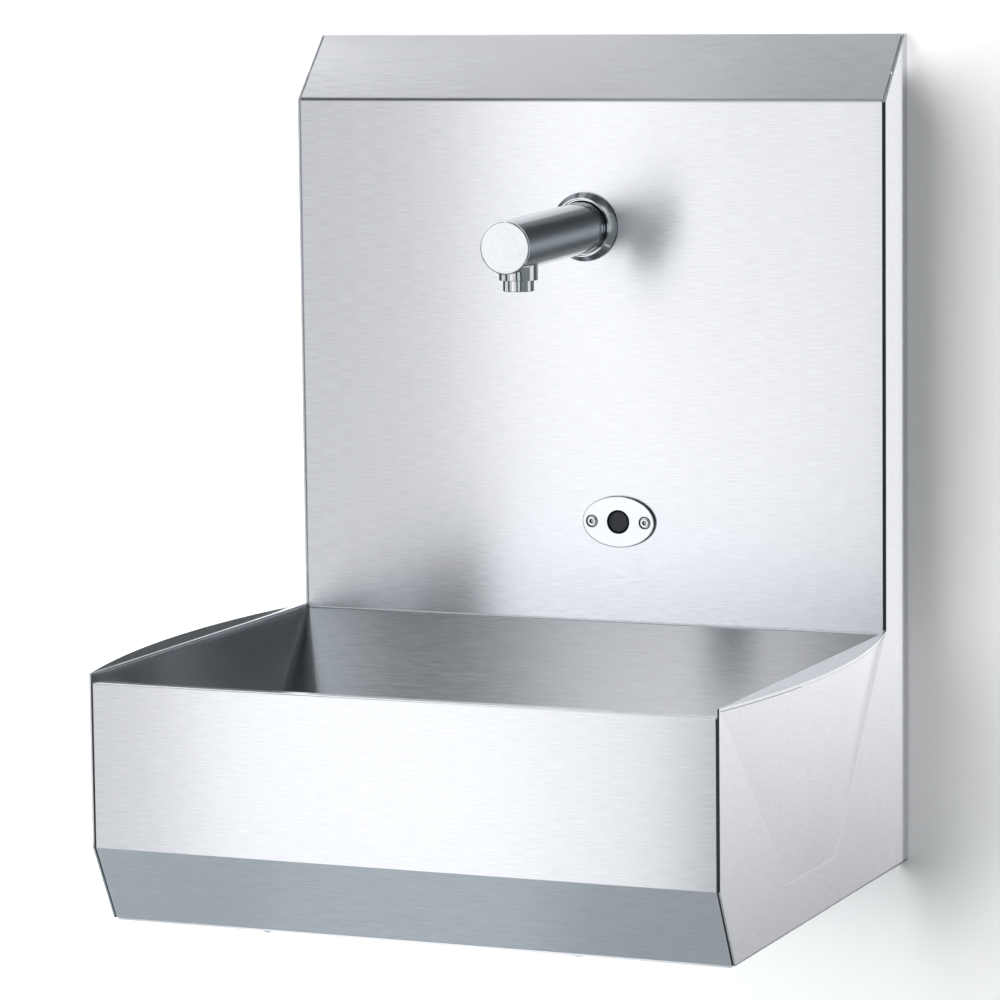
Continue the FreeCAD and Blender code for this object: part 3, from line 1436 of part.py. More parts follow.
def waste_body():
    """A cup under the floor that narrows to the tail, with a bridge for the centre screw."""
    top = "-(gauge + waste_seal)"
    inner = "waste_cup / 2 + hole_clearance"
    throat = f"{top} - waste_throat"
    cone = f"{throat} - waste_cone"
    end = "-(floor_height + tail_end)"
    tail = "tail_diameter / 2"
    neck = f"{tail} - tail_relief"
    body = turned("waste_body", [
        (inner, top),
        ("waste_flange / 2", top),
        ("waste_flange / 2", f"{top} - waste_wall"),
        (f"{inner} + waste_wall", f"{top} - waste_wall"),
        (f"{inner} + waste_wall", throat),
        (neck, cone),
        (neck, f"{end} + tail_thread"),
        (tail, f"{end} + tail_thread"),
        (tail, end),
        (f"{tail} - waste_wall", end),
        (f"{tail} - waste_wall", cone),
        (inner, throat),
    ])
    low = f"{cone} - bridge_height"
    block(body, ("-(tail_diameter / 2 - waste_wall / 2)", "tail_diameter / 2 - waste_wall / 2"),
          ("-bridge_width / 2", "bridge_width / 2"), (low, cone))
    boss = sketch_on(body, "XY_Plane", low)
    circle(boss, "2 * waste_screw")
    pad(body, boss, "bridge_height")
    thread = sketch_on(body, "XY_Plane", low)
    circle(thread, "waste_screw + 2 * thread_clearance")
    pocket(body, thread, "bridge_height", onwards=True)
    keep(body, "waste_body", **waste_place())
    head = "-waste_depth + gauge"
    screw = turned("waste_screw", [
        ("0", f"{low} - gauge"),
        ("waste_screw / 2", f"{low} - gauge"),
        ("waste_screw / 2", head),
        ("waste_head / 2", head),
        ("waste_head / 2", f"{head} + waste_head_height / 2"),
        ("waste_screw / 2", f"{head} + waste_head_height"),
        ("0", f"{head} + waste_head_height"),
    ])
    keep(screw, "waste_screw", **waste_place())


def build():
    cheeks()
    splashback()
    bowl()
    front_apron()
    bottom_cover()
    rear_rail()
    housing_fasteners()
    spout_body()
    spout_trim()
    spout_elbow()
    aerator()
    sensor_front()
    sensor_screws()
    sensor_housing()
    control_box()
    circuit_board()
    batteries()
    for name, side in (("cold", ""), ("hot", "-")):
        stop_valve(name, side)
    inlet_locknuts()
    mixer_body()
    mixer_plug()
    mixer_bonnet()
    mixer_knob()
    solenoid_body()
    core_tube()
    plunger()
    coil()
    return_spring()
    supply_tube()
    tube_nuts()
    strainer()
    waste_body()
    doc.recompute()


def check():
    faults = [item.Name for item in doc.Objects if {"Invalid", "Error"} & set(item.State)]
    faults += [item.Label for item in pieces if item.Shape.isNull() or not item.Shape.isValid()]
    if faults:
        raise RuntimeError(f"failed: {', '.join(faults)}")


build()
check()
os.makedirs("parts", exist_ok=True)
for piece in pieces:
    piece.Shape.exportStep(f"parts/{piece.Label}.step")
print(f"{len(pieces)} pieces")
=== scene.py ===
import math

import bmesh
import bpy
from bpy.props import FloatProperty, FloatVectorProperty, IntProperty, PointerProperty
from mathutils import Matrix, Vector


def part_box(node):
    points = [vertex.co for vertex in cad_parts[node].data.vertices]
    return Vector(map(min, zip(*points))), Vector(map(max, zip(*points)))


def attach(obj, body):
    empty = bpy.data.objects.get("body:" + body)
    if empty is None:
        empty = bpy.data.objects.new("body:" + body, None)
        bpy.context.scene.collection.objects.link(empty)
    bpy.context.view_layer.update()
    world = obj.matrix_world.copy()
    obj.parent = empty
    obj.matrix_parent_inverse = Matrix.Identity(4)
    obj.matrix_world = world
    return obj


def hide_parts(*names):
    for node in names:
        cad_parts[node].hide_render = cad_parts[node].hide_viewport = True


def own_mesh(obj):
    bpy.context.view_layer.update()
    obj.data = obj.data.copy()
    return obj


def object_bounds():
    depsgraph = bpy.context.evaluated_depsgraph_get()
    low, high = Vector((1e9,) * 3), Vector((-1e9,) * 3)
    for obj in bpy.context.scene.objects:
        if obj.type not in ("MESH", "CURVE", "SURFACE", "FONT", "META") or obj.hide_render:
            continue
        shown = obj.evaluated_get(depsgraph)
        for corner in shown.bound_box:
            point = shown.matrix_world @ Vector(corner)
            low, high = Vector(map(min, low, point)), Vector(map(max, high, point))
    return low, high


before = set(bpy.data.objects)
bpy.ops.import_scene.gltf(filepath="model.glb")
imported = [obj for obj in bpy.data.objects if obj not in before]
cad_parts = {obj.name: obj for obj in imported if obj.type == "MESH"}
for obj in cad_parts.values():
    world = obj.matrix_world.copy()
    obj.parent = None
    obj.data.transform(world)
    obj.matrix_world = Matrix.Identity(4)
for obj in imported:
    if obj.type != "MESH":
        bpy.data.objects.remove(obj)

CAD_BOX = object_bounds()

bl_info = {
    "name": "Wall-hung hand basin",
    "version": (1, 0, 0),
    "blender": (4, 5, 0),
    "location": "3D View > Sidebar > Basin",
    "description": "Dresses a folded steel hand basin with its finishes, fittings and studio",
    "category": "Object",
}

# Nodes of the frame by the finish that they take
FINISHES = {
    "sheet_steel": ["splashback", "bowl", "front_apron", "right_cheek", "left_cheek", "bottom_cover",
                    "rear_rail"],
    "fastener_steel": ["panel_nuts", "cover_screws", "control_lid_screws", "spout_washer", "coil_nut",
                       "sensor_screws", "waste_screw"],
    "satin_steel": ["spout_body", "sensor_plate", "waste_strainer", "plunger", "solenoid_core_tube"],
    "bright_chrome": ["rosette", "aerator_sleeve", "waste_body"],
    "brass_body": ["cold_stop_body", "hot_stop_body", "inlet_locknuts", "mixer_body", "mixer_bonnet",
                   "mixer_plug", "solenoid_body", "spout_elbow", "spout_nut", "tube_nuts"],
    "plated_ball": ["cold_stop_ball", "hot_stop_ball"],
    "tube_steel": ["supply_tube", "plunger_spring"],
    "red_lever": ["hot_lever"],
    "blue_lever": ["cold_lever"],
    "seal_rubber": ["spout_gasket", "sensor_gasket", "aerator_seal", "plunger_seal", "waste_upper_seal",
                    "waste_lower_seal", "control_pad"],
    "insert_plastic": ["aerator_insert"],
    "window_dark": ["sensor_window"],
    "grey_plastic": ["control_box", "control_lid", "mixer_knob"],
    "black_plastic": ["sensor_housing", "battery_holder", "solenoid_coil"],
    "board_green": ["circuit_board"],
    "cell_wrap": ["batteries"],
}

# Nodes whose surface differs from the rest of their finish
OWN_FINISH = {"right_cheek": "cheek_steel", "left_cheek": "cheek_steel", "splashback": "panel_steel",
              "spout_body": "spout_steel"}


# Cheeks: (y, z) corners of the flat sheet, and of the swell that is pressed out of it
TOE = (-0.408, -0.335)
CHIN = (-0.44, -0.275)
RIM_FRONT = (-0.437, -0.143)
FOOT_FRONT = (-0.29, -0.298)
FOOT_REAR = (-0.183, -0.298)
RIM_REAR = (-0.058, -0.143)
PANEL = -0.055
SHOULDER = 0.27
CREST = (-0.006, 0.321)
# Lip: thickness and the share of the rim that its fold may take; a flange begins a gap inside the sheet
LIP_GAUGE = 0.001
LIP_SHARE = 0.45
FLANGE_GAP = 0.00005
# Points of a section past its swell: end of the seam, the rim's outer and inner fold, end of the lip
SEAM_END, RIM_OUTER, RIM_INNER, LIP_END = 3, 4, 8, 12
# The front share of the rim whose seam lies in shadow
DARK_SEAM = 1 / 3
# A cheek's materials in their order (brushed sheet, brighter steel as a painted highlight, dark steel as
# painted shadow, much brighter steel as painted light on the lip), their places, and the place that leaves a
# fold as its neighbours are
CHEEK_STEELS = ("cheek_steel", "burnished_steel", "seam_shade", "lip_steel")
SHEET, PAINTED_HIGHLIGHT, SHADOW, LIP_LIGHT = range(4)
UNCHANGED = -1

# Distances under which corners are joined, in the frame's meshes, its spring and the folded sheet
MERGE = 0.00001
SPRING_MERGE = 0.000001
SHEET_MERGE = 0.000002
# How near to a line a corner on it lies
TOUCH = 0.00002
EDGE_SEGMENTS = 2

# Weld bead: height, radius, set behind the panel, gap to a cheek's outside, ripple and its waves per metre
BEAD_HEIGHT = -0.1456
BEAD_RADIUS = 0.0008
BEAD_SET = 0.0002
BEAD_END = 0.0035
BEAD_RIPPLE = 0.00001
BEAD_WAVES = (2100, 437)
BEAD_STEPS = 330
BEAD_SIDES = 12
# Joint strips of painted shadow: start from a cheek's outside, distance back from the faces, depth, and ends
# of the two joints
JOINT_START = 0.0029
JOINT_BACK = 0.0001
JOINT_DEPTH = 0.0016
APRON_JOINT = (TOE[1] + 0.0003, BEAD_HEIGHT - 0.0055)
PANEL_JOINT = (RIM_REAR[1] + 0.0005, SHOULDER - 0.001)

# Sensor: window's rim, dome, steps and rise, and the rounding of the plate
LENS_RIM = 0.0012
LENS_DOME = 0.0014
LENS_STEP = 0.0002
LENS_RISE = 0.0004
PLATE_ROUNDING = 0.0002
# The plate's outer edge, as a share of its oval, and how far its side and front faces look to the front
PLATE_EDGE = 0.93
PLATE_SIDE = 0.3
PLATE_FRONT = 0.999
# Screws: height of a head and the largest turn of its socket; steps round a turned piece
SCREW_HEAD = 0.0024
LARGEST_TURN = math.radians(60)
TURNED_SEGMENTS = 48

# Brushed sheet: marks per metre, their strength in colour and roughness, spread and relief, and faint clouds
GRAIN_ALONG = 60.0
GRAIN_ACROSS = 1400.0
GRAIN_STREAK = 0.3
GRAIN_ROUGHENING = 0.3
GRAIN_SPREAD = 0.72
GRAIN_RELIEF = 0.35
CLOUD_STRENGTH = 0.01
CLOUD_SCALE = 0.035
# The panel's upper fold and the painted shade along folds, which changes between two x toward the right
FOLD_HEIGHT = 0.2703
FOLD_WIDTH = 0.0021
FOLD_DEPTH = 0.95
FOLD_FADE = (-0.1, 0.25)
# Spout: height of its axis, its end's facing and mean shade, and the rings and speckle of its turning
SPOUT_END_HEIGHT = 0.164
END_FACING = -0.9
END_SHADE = 1.08
RING_WANDER = 1.4
RING_SHARE = 0.6
SPECKLE_SCALE = 1100.0
TURNED_RELIEF = 0.2
# Moulded skin: patches per metre, their strength in roughness, and relief
PATCH_SCALE = 38.0
PATCH_ROUGHENING = 0.5
SKIN_RELIEF = 0.25
SKIN_DEPTH = 0.00002
# Depth of the relief on polished surfaces, and how noises fall off
FINE_DEPTH = 0.000004
NOISE_ROUGHNESS = 0.55
# Sockets of a colour mix, whose names its other kinds share
MIX_FACTOR, MIX_PLAIN, MIX_SHADE, MIX_RESULT = 0, 6, 7, 2


# Sizes and colours that a user would change

class BasinEdges(bpy.types.PropertyGroup):
    rounding: FloatProperty(
        name="Edge rounding", description="Radius on the cut edges of sheet and fittings",
        default=0.00025, min=0.0, unit="LENGTH", precision=5)
    sharp: FloatProperty(
        name="Sharp angle", description="Edges that turn by more than this are rounded",
        default=math.radians(35), subtype="ANGLE")
    flat: FloatProperty(
        name="Flat angle", description="Neighbouring faces that turn by less than this become one",
        default=math.radians(0.3), subtype="ANGLE")


class BasinCheeks(bpy.types.PropertyGroup):
    half_width: FloatProperty(
        name="Half width", description="From the middle to the flat outside of a cheek", default=0.25,
        unit="LENGTH")
    gauge: FloatProperty(
        name="Gauge", description="Thickness of the sheet", default=0.0015, unit="LENGTH", precision=4)
    rim_fold: FloatProperty(
        name="Rim fold", description="Radius of the rim's outer fold", default=0.0007, unit="LENGTH",
        precision=4)
    lip_fold: FloatProperty(
        name="Lip fold", description="Radius of the fold between rim and lip", default=0.0024, unit="LENGTH",
        precision=4)
    lip: FloatProperty(
        name="Lip", description="Depth of the lip on the bowl side of the rim", default=0.0055, unit="LENGTH",
        precision=4)
    edge: FloatProperty(
        name="Edge", description="Rounding of the outline", default=0.0007, unit="LENGTH", precision=4)
    crease: FloatProperty(
        name="Crease", description="Half width of the pressed crease round the swell", default=0.0011,
        unit="LENGTH", precision=4)
    seam: FloatProperty(
        name="Seam", description="Width and depth of the seam under the rim's fold", default=0.0004,
        unit="LENGTH", precision=4)
    seam_drop: FloatProperty(
        name="Seam drop", description="From the top of the rim to the bottom of its seam", default=0.0027,
        unit="LENGTH", precision=4)
    columns: IntProperty(name="Columns", description="Sections along the swell", default=40, min=8)
    rows: IntProperty(
        name="Rows", description="Steps from the foot of the swell to its rim", default=18, min=4)


class BasinFinish(bpy.types.PropertyGroup):
    steel: FloatVectorProperty(
        name="Steel", description="Colour of the brushed sheet",
        default=(0.645, 0.655, 0.68), subtype="COLOR", min=0.0, max=1.0)
    roughness: FloatProperty(
        name="Brushed roughness", description="Mean roughness of the brushed sheet", default=0.225,
        subtype="FACTOR", min=0.0, max=1.0)
    chrome: FloatVectorProperty(
        name="Chrome", description="Colour of the polished fittings",
        default=(0.6, 0.615, 0.63), subtype="COLOR", min=0.0, max=1.0)
    brass: FloatVectorProperty(
        name="Brass", description="Colour of the valve bodies",
        default=(0.62, 0.46, 0.22), subtype="COLOR", min=0.0, max=1.0)


class BasinStage(bpy.types.PropertyGroup):
    camera_place: FloatVectorProperty(
        name="Camera place", description="Where the camera stands", default=(1.3463, -3.4747, 0.4012),
        subtype="TRANSLATION")
    yaw: FloatProperty(
        name="Yaw", description="Turn of the camera to the left", default=math.radians(22.582),
        subtype="ANGLE")
    pitch: FloatProperty(
        name="Pitch", description="Tilt of the camera downward", default=math.radians(6.968), subtype="ANGLE")
    roll: FloatProperty(
        name="Roll", description="Roll of the camera", default=math.radians(-0.656), subtype="ANGLE")
    lens: FloatProperty(
        name="Lens", description="Focal length in millimetres", default=166.6, unit="CAMERA", min=1.0)
    key_power: FloatProperty(
        name="Key lamp", description="Power of the front softbox", default=4.1, subtype="POWER")
    side_power: FloatProperty(
        name="Side lamp", description="Power of the left lamp", default=265.0, subtype="POWER")
    ambient: FloatProperty(name="Ambient", description="World light on matt surfaces", default=0.12, min=0.0)
    floor_drop: FloatProperty(
        name="Floor drop", description="How far the floor lies below the basin", default=0.75, unit="LENGTH")


# Node trees

GROUPS = {}
MATERIALS = {}


def connect(tree, node, values):
    """Links each input of a node, by its name or place, to the socket given for it, or sets its value."""
    for name, given in values.items():
        if isinstance(given, bpy.types.NodeSocket):
            tree.links.new(given, node.inputs[name])
        else:
            node.inputs[name].default_value = given


def add_node(tree, kind, values=None, **settings):
    """A node with its settings and its inputs."""
    node = tree.nodes.new(kind)
    for name, given in settings.items():
        setattr(node, name, given)
    connect(tree, node, values or {})
    return node


def noise_at(tree, position, scale, detail=2.0):
    values = {"Vector": position, "Scale": scale, "Detail": detail, "Roughness": NOISE_ROUGHNESS}
    return add_node(tree, "ShaderNodeTexNoise", values).outputs[0]


def calculate(tree, operation, first, second=0.0):
    """A Math node; each operand is a socket or a number."""
    return add_node(tree, "ShaderNodeMath", {0: first, 1: second}, operation=operation).outputs[0]


def parts_of(tree, vector):
    """The X, Y and Z of a vector."""
    return add_node(tree, "ShaderNodeSeparateXYZ", {0: vector}).outputs


def new_group(name, inputs, outputs):
    """A shader group that reads a position and some values, with its inputs and its end node."""
    tree = bpy.data.node_groups.new(name, "ShaderNodeTree")
    GROUPS[name] = tree
    tree.interface.new_socket("Position", in_out="INPUT", socket_type="NodeSocketVector")
    for way, labels in (("INPUT", inputs), ("OUTPUT", outputs)):
        for label in labels:
            tree.interface.new_socket(label, in_out=way, socket_type="NodeSocketFloat")
    return tree, tree.nodes.new("NodeGroupInput").outputs, tree.nodes.new("NodeGroupOutput")


def place_group(tree, name, position, **values):
    """One of the groups in a material, with its position and its own values."""
    labelled = {label.capitalize(): given for label, given in values.items()}
    return add_node(tree, "ShaderNodeGroup", {"Position": position, **labelled}, node_tree=GROUPS[name])


def brushed_grain():
    """Long fine streaks from the brushing belt and a faint cloudiness of the rolled sheet."""
    tree, start, end = new_group("brushed_grain", ("Streak", "Cloud", "Roughness"),
                                 ("Shade", "Roughness", "Height"))
    fine = noise_at(tree, start["Position"], 1.0)
    cloud = noise_at(tree, start["Position"], CLOUD_SCALE, detail=3.0)
    streak = calculate(tree, "SUBTRACT", fine, 0.5)
    drift = calculate(tree, "SUBTRACT", cloud, 0.5)
    shade = calculate(tree, "ADD", calculate(tree, "MULTIPLY", streak, start["Streak"]),
                      calculate(tree, "MULTIPLY", drift, start["Cloud"]))
    rough = calculate(tree, "ADD", calculate(tree, "MULTIPLY", streak, GRAIN_ROUGHENING), 1.0)
    connect(tree, end, {
        "Shade": calculate(tree, "ADD", shade, 1.0),
        "Roughness": calculate(tree, "MULTIPLY", rough, start["Roughness"]),
        "Height": fine,
    })


def moulded_skin():
    """The fine texture and uneven tone of moulded plastic, rubber and cast metal."""
    tree, start, end = new_group("moulded_skin", ("Scale", "Tone", "Roughness"),
                                 ("Shade", "Roughness", "Height"))
    change = calculate(tree, "SUBTRACT", noise_at(tree, start["Position"], PATCH_SCALE, detail=3.0), 0.5)
    shade = calculate(tree, "MULTIPLY", change, start["Tone"])
    rough = calculate(tree, "ADD", calculate(tree, "MULTIPLY", change, PATCH_ROUGHENING), 1.0)
    connect(tree, end, {
        "Shade": calculate(tree, "ADD", shade, 1.0),
        "Roughness": calculate(tree, "MULTIPLY", rough, start["Roughness"]),
        "Height": noise_at(tree, start["Position"], start["Scale"], detail=3.0),
    })


def turning_marks():
    """Fine rings that the lathe leaves on an end face, round an axis along Y through the origin."""
    tree, start, end = new_group("turning_marks", ("Rings", "Contrast"), ("Shade", "Height"))
    place = parts_of(tree, start["Position"])
    squares = [calculate(tree, "MULTIPLY", place[axis], place[axis]) for axis in "XZ"]
    radius = calculate(tree, "SQRT", calculate(tree, "ADD", *squares))
    angle = calculate(tree, "ARCTAN2", place["X"], place["Z"])
    spot = add_node(tree, "ShaderNodeCombineXYZ", {
        "X": calculate(tree, "MULTIPLY", radius, start["Rings"]),
        "Y": calculate(tree, "MULTIPLY", angle, RING_WANDER),
    })
    rings = noise_at(tree, spot.outputs[0], 1.0, detail=3.0)
    speckle = noise_at(tree, start["Position"], SPECKLE_SCALE)
    both = calculate(tree, "ADD", calculate(tree, "MULTIPLY", rings, RING_SHARE),
                     calculate(tree, "MULTIPLY", speckle, 1.0 - RING_SHARE))
    change = calculate(tree, "MULTIPLY", calculate(tree, "SUBTRACT", both, 0.5), start["Contrast"])
    connect(tree, end, {"Shade": calculate(tree, "ADD", change, 1.0), "Height": rings})


def fold_line():
    """The painted shade along a sheet's fold at one height, with its own strength at the right."""
    tree, start, end = new_group("fold_line", ("Height", "Width", "Depth", "Right"), ("Shade",))
    place = parts_of(tree, start["Position"])
    off = calculate(tree, "ABSOLUTE", calculate(tree, "SUBTRACT", place["Z"], start["Height"]))
    off = calculate(tree, "DIVIDE", off, start["Width"])
    near = calculate(tree, "MAXIMUM", calculate(tree, "SUBTRACT", 1.0, off), 0.0)
    fade = add_node(tree, "ShaderNodeMapRange", {
        "Value": place["X"], "From Min": FOLD_FADE[0], "From Max": FOLD_FADE[1], "To Min": 1.0,
        "To Max": start["Right"]})
    dark = calculate(tree, "MULTIPLY", near, fade.outputs[0])
    dark = calculate(tree, "MULTIPLY", dark, start["Depth"])
    connect(tree, end, {"Shade": calculate(tree, "SUBTRACT", 1.0, dark)})


# Materials

def new_material(name):
    """A material with its shader and the piece's own coordinates."""
    material = bpy.data.materials.new(name)
    material.use_nodes = True
    tree = material.node_tree
    shader = next(node for node in tree.nodes if node.type == "BSDF_PRINCIPLED")
    return material, tree, shader, tree.nodes.new("ShaderNodeTexCoord").outputs["Object"]


def tinted(tree, color, shade):
    """The colour times a shade that changes over the surface."""
    values = {MIX_FACTOR: 1.0, MIX_PLAIN: (*color, 1.0), MIX_SHADE: shade}
    mix = add_node(tree, "ShaderNodeMix", values, data_type="RGBA", blend_type="MULTIPLY")
    return mix.outputs[MIX_RESULT]


def raised(tree, height, strength, depth):
    """The surface's normal with a fine relief."""
    values = {"Height": height, "Strength": strength, "Distance": depth}
    return add_node(tree, "ShaderNodeBump", values).outputs["Normal"]


def brushed_steel(name, color, roughness, axis, fold=None, right=0.45):
    """Sheet brushed along an axis; its reflections spread across the grain. A fold is a line of painted shade
    at its height, with its own strength at the right."""
    material, tree, shader, position = new_material(name)
    scale = [GRAIN_ALONG if letter == axis else GRAIN_ACROSS for letter in "XYZ"]
    stretch = add_node(tree, "ShaderNodeMapping", {"Vector": position, "Scale": scale})
    grain = place_group(tree, "brushed_grain", stretch.outputs[0], streak=GRAIN_STREAK,
                        cloud=CLOUD_STRENGTH, roughness=roughness)
    shade = grain.outputs["Shade"]
    if fold:
        line = place_group(tree, "fold_line", position, height=fold, width=FOLD_WIDTH, depth=FOLD_DEPTH,
                           right=right)
        shade = calculate(tree, "MULTIPLY", shade, line.outputs["Shade"])
    across = add_node(tree, "ShaderNodeTangent", direction_type="RADIAL", axis=axis)
    connect(tree, shader, {
        "Base Color": tinted(tree, color, shade),
        "Roughness": grain.outputs["Roughness"],
        "Normal": raised(tree, grain.outputs["Height"], GRAIN_RELIEF, FINE_DEPTH),
        "Tangent": across.outputs[0],
        "Metallic": 1.0,
        "Anisotropic": GRAIN_SPREAD,
    })
    return material


def skinned(name, color, roughness, scale=900.0, tone=0.12, metallic=0.0, depth=SKIN_DEPTH, shine=0.5):
    """Moulded, cast or plated surfaces."""
    material, tree, shader, position = new_material(name)
    skin = place_group(tree, "moulded_skin", position, scale=scale, tone=tone, roughness=roughness)
    connect(tree, shader, {
        "Base Color": tinted(tree, color, skin.outputs["Shade"]),
        "Roughness": skin.outputs["Roughness"],
        "Normal": raised(tree, skin.outputs["Height"], SKIN_RELIEF, depth),
        "Metallic": metallic,
        "Specular IOR Level": shine,
    })
    return material


def turned_steel(name, color, roughness, axis_place):
    """Polished bar whose end shows its turning marks."""
    material, tree, shader, position = new_material(name)
    shift = [-part for part in axis_place]
    centre = add_node(tree, "ShaderNodeMapping", {"Vector": position, "Location": shift})
    marks = place_group(tree, "turning_marks", centre.outputs[0], rings=700.0, contrast=0.38)
    shade = marks.outputs["Shade"]
    facing = parts_of(tree, position.node.outputs["Normal"])
    on_end = calculate(tree, "LESS_THAN", facing["Y"], END_FACING)
    change = calculate(tree, "MULTIPLY", calculate(tree, "SUBTRACT", shade, END_SHADE), on_end)
    connect(tree, shader, {
        "Base Color": tinted(tree, color, calculate(tree, "ADD", change, 1.0)),
        "Roughness": calculate(tree, "MULTIPLY", shade, roughness),
        "Normal": raised(tree, marks.outputs["Height"], TURNED_RELIEF, FINE_DEPTH),
        "Metallic": 1.0,
    })
    return material


# Moulded finishes: colour, roughness and what else differs
MOULDED = {
    "lens_rim": ((0.006, 0.006, 0.007), 0.3, {"depth": FINE_DEPTH, "shine": 0.05}),
    "red_lever": ((0.5, 0.03, 0.025), 0.42, {}),
    "blue_lever": ((0.025, 0.09, 0.42), 0.42, {}),
    "seal_rubber": ((0.03, 0.03, 0.032), 0.65, {"scale": 1400.0}),
    "insert_plastic": ((0.62, 0.63, 0.62), 0.45, {}),
    "window_dark": ((0.06, 0.07, 0.08), 0.2, {"depth": FINE_DEPTH, "shine": 0.25}),
    "grey_plastic": ((0.3, 0.31, 0.32), 0.55, {}),
    "black_plastic": ((0.035, 0.036, 0.038), 0.5, {}),
    "board_green": ((0.02, 0.14, 0.05), 0.45, {}),
    "cell_wrap": ((0.09, 0.1, 0.11), 0.35, {}),
}


def metals_of(steel, chrome, brass):
    """Plain metals: colour, roughness and what else differs."""
    return {
        # Brighter steel: a painted highlight on creases, front edges and the weld bead; seam_shade below is
        # dark steel, painted shade in seams, gaps and under edges
        "burnished_steel": ([1.12 * part for part in steel], 0.3, {"depth": FINE_DEPTH}),
        # Much brighter steel: painted light on the lip's fold and face
        "lip_steel": ([1.4 * part for part in steel], 0.2, {"tone": 0.03, "depth": 0.0000005}),
        "seam_shade": ((0.05, 0.055, 0.06), 0.5, {}),
        "fastener_steel": (steel, 0.28, {}),
        "satin_steel": (chrome, 0.1, {"depth": 0.000002}),
        "bright_chrome": (chrome, 0.07, {"depth": 0.000002}),
        "brass_body": (brass, 0.32, {}),
        "plated_ball": (chrome, 0.1, {"depth": FINE_DEPTH}),
        "tube_steel": (steel, 0.22, {"depth": 0.000008}),
    }


def make_materials(finish):
    """One material for each finish of the record, and for the surfaces that differ from theirs."""
    for make_group in (brushed_grain, moulded_skin, turning_marks, fold_line):
        make_group()
    brushed = {
        "sheet_steel": {"axis": "X"},
        "panel_steel": {"axis": "X", "fold": FOLD_HEIGHT},
        "cheek_steel": {"axis": "Y", "fold": TOE[1], "right": 0.8},
    }
    for name, given in brushed.items():
        MATERIALS[name] = brushed_steel(name, finish.steel, finish.roughness, **given)
    MATERIALS["spout_steel"] = turned_steel("spout_steel", finish.chrome, roughness=0.1,
                                            axis_place=(0.0, 0.0, SPOUT_END_HEIGHT))
    for name, (color, roughness, given) in metals_of(finish.steel, finish.chrome, finish.brass).items():
        MATERIALS[name] = skinned(name, color, roughness, metallic=1.0, **given)
    for name, (color, roughness, given) in MOULDED.items():
        MATERIALS[name] = skinned(name, color, roughness, **given)


# Meshes

def new_modifier(name, inputs):
    """A modifier tree with its inputs beside the geometry, and its end node."""
    tree = bpy.data.node_groups.new(name, "GeometryNodeTree")
    for label, kind in (("Geometry", "NodeSocketGeometry"), *inputs):
        tree.interface.new_socket(label, in_out="INPUT", socket_type=kind)
    tree.interface.new_socket("Geometry", in_out="OUTPUT", socket_type="NodeSocketGeometry")
    return tree, tree.nodes.new("NodeGroupInput").outputs, tree.nodes.new("NodeGroupOutput")


def smooth_by_angle():
    """A modifier tree that shades smooth but keeps edges over an angle sharp."""
    tree, start, end = new_modifier("smooth_by_angle", [("Angle", "NodeSocketFloat")])
    faces = add_node(tree, "GeometryNodeSetShadeSmooth", {"Geometry": start["Geometry"]}, domain="FACE")
    turn = tree.nodes.new("GeometryNodeInputMeshEdgeAngle").outputs["Unsigned Angle"]
    small = add_node(tree, "FunctionNodeCompare", {"A": turn, "B": start["Angle"]}, operation="LESS_EQUAL")
    values = {"Geometry": faces.outputs[0], "Shade Smooth": small.outputs[0]}
    edges = add_node(tree, "GeometryNodeSetShadeSmooth", values, domain="EDGE")
    connect(tree, end, {0: edges.outputs[0]})
    return tree


def socket_of(tree, name):
    """The identifier of a tree's input, which the modifier's setting goes by."""
    return next(item.identifier for item in tree.interface.items_tree
                if item.item_type == "SOCKET" and item.in_out == "INPUT" and item.name == name)


def round_edges(item, edges):
    """Live modifiers that join the frame's triangles, round the sharp edges and shade the rest smooth."""
    weld = item.modifiers.new("join", "WELD")
    weld.merge_threshold = MERGE
    flat = item.modifiers.new("flat", "DECIMATE")
    flat.decimate_type = "DISSOLVE"
    flat.angle_limit = edges.flat
    shade = item.modifiers.new("shade", "NODES")
    shade.node_group = bpy.data.node_groups.get("smooth_by_angle") or smooth_by_angle()
    shade[socket_of(shade.node_group, "Angle")] = edges.sharp
    bevel = item.modifiers.new("edge", "BEVEL")
    bevel.width = edges.rounding
    bevel.segments = EDGE_SEGMENTS
    bevel.limit_method = "ANGLE"
    bevel.angle_limit = edges.sharp
    normal = item.modifiers.new("normal", "WEIGHTED_NORMAL")
    normal.keep_sharp = True


def dress(item, material):
    item.data.materials.clear()
    item.data.materials.append(material)


# Cheeks

def along(first, last, part):
    return first + (last - first) * part


def between(first, last, part):
    """The point at a part of the way from one point to another."""
    return tuple(along(start, end, part) for start, end in zip(first, last))


def rim_arc(size, part):
    """(x, y) on the outer arc of the rim, from its front end to its rear end."""
    reach = CAD_BOX[1].x - size.half_width
    half_chord = (RIM_REAR[0] - RIM_FRONT[0]) / 2
    radius = (half_chord ** 2 + reach ** 2) / (2 * reach)
    turn = math.asin(half_chord / radius) * (2 * part - 1)
    middle = (RIM_FRONT[0] + RIM_REAR[0]) / 2
    return size.half_width + reach - radius + radius * math.cos(turn), middle + radius * math.sin(turn)


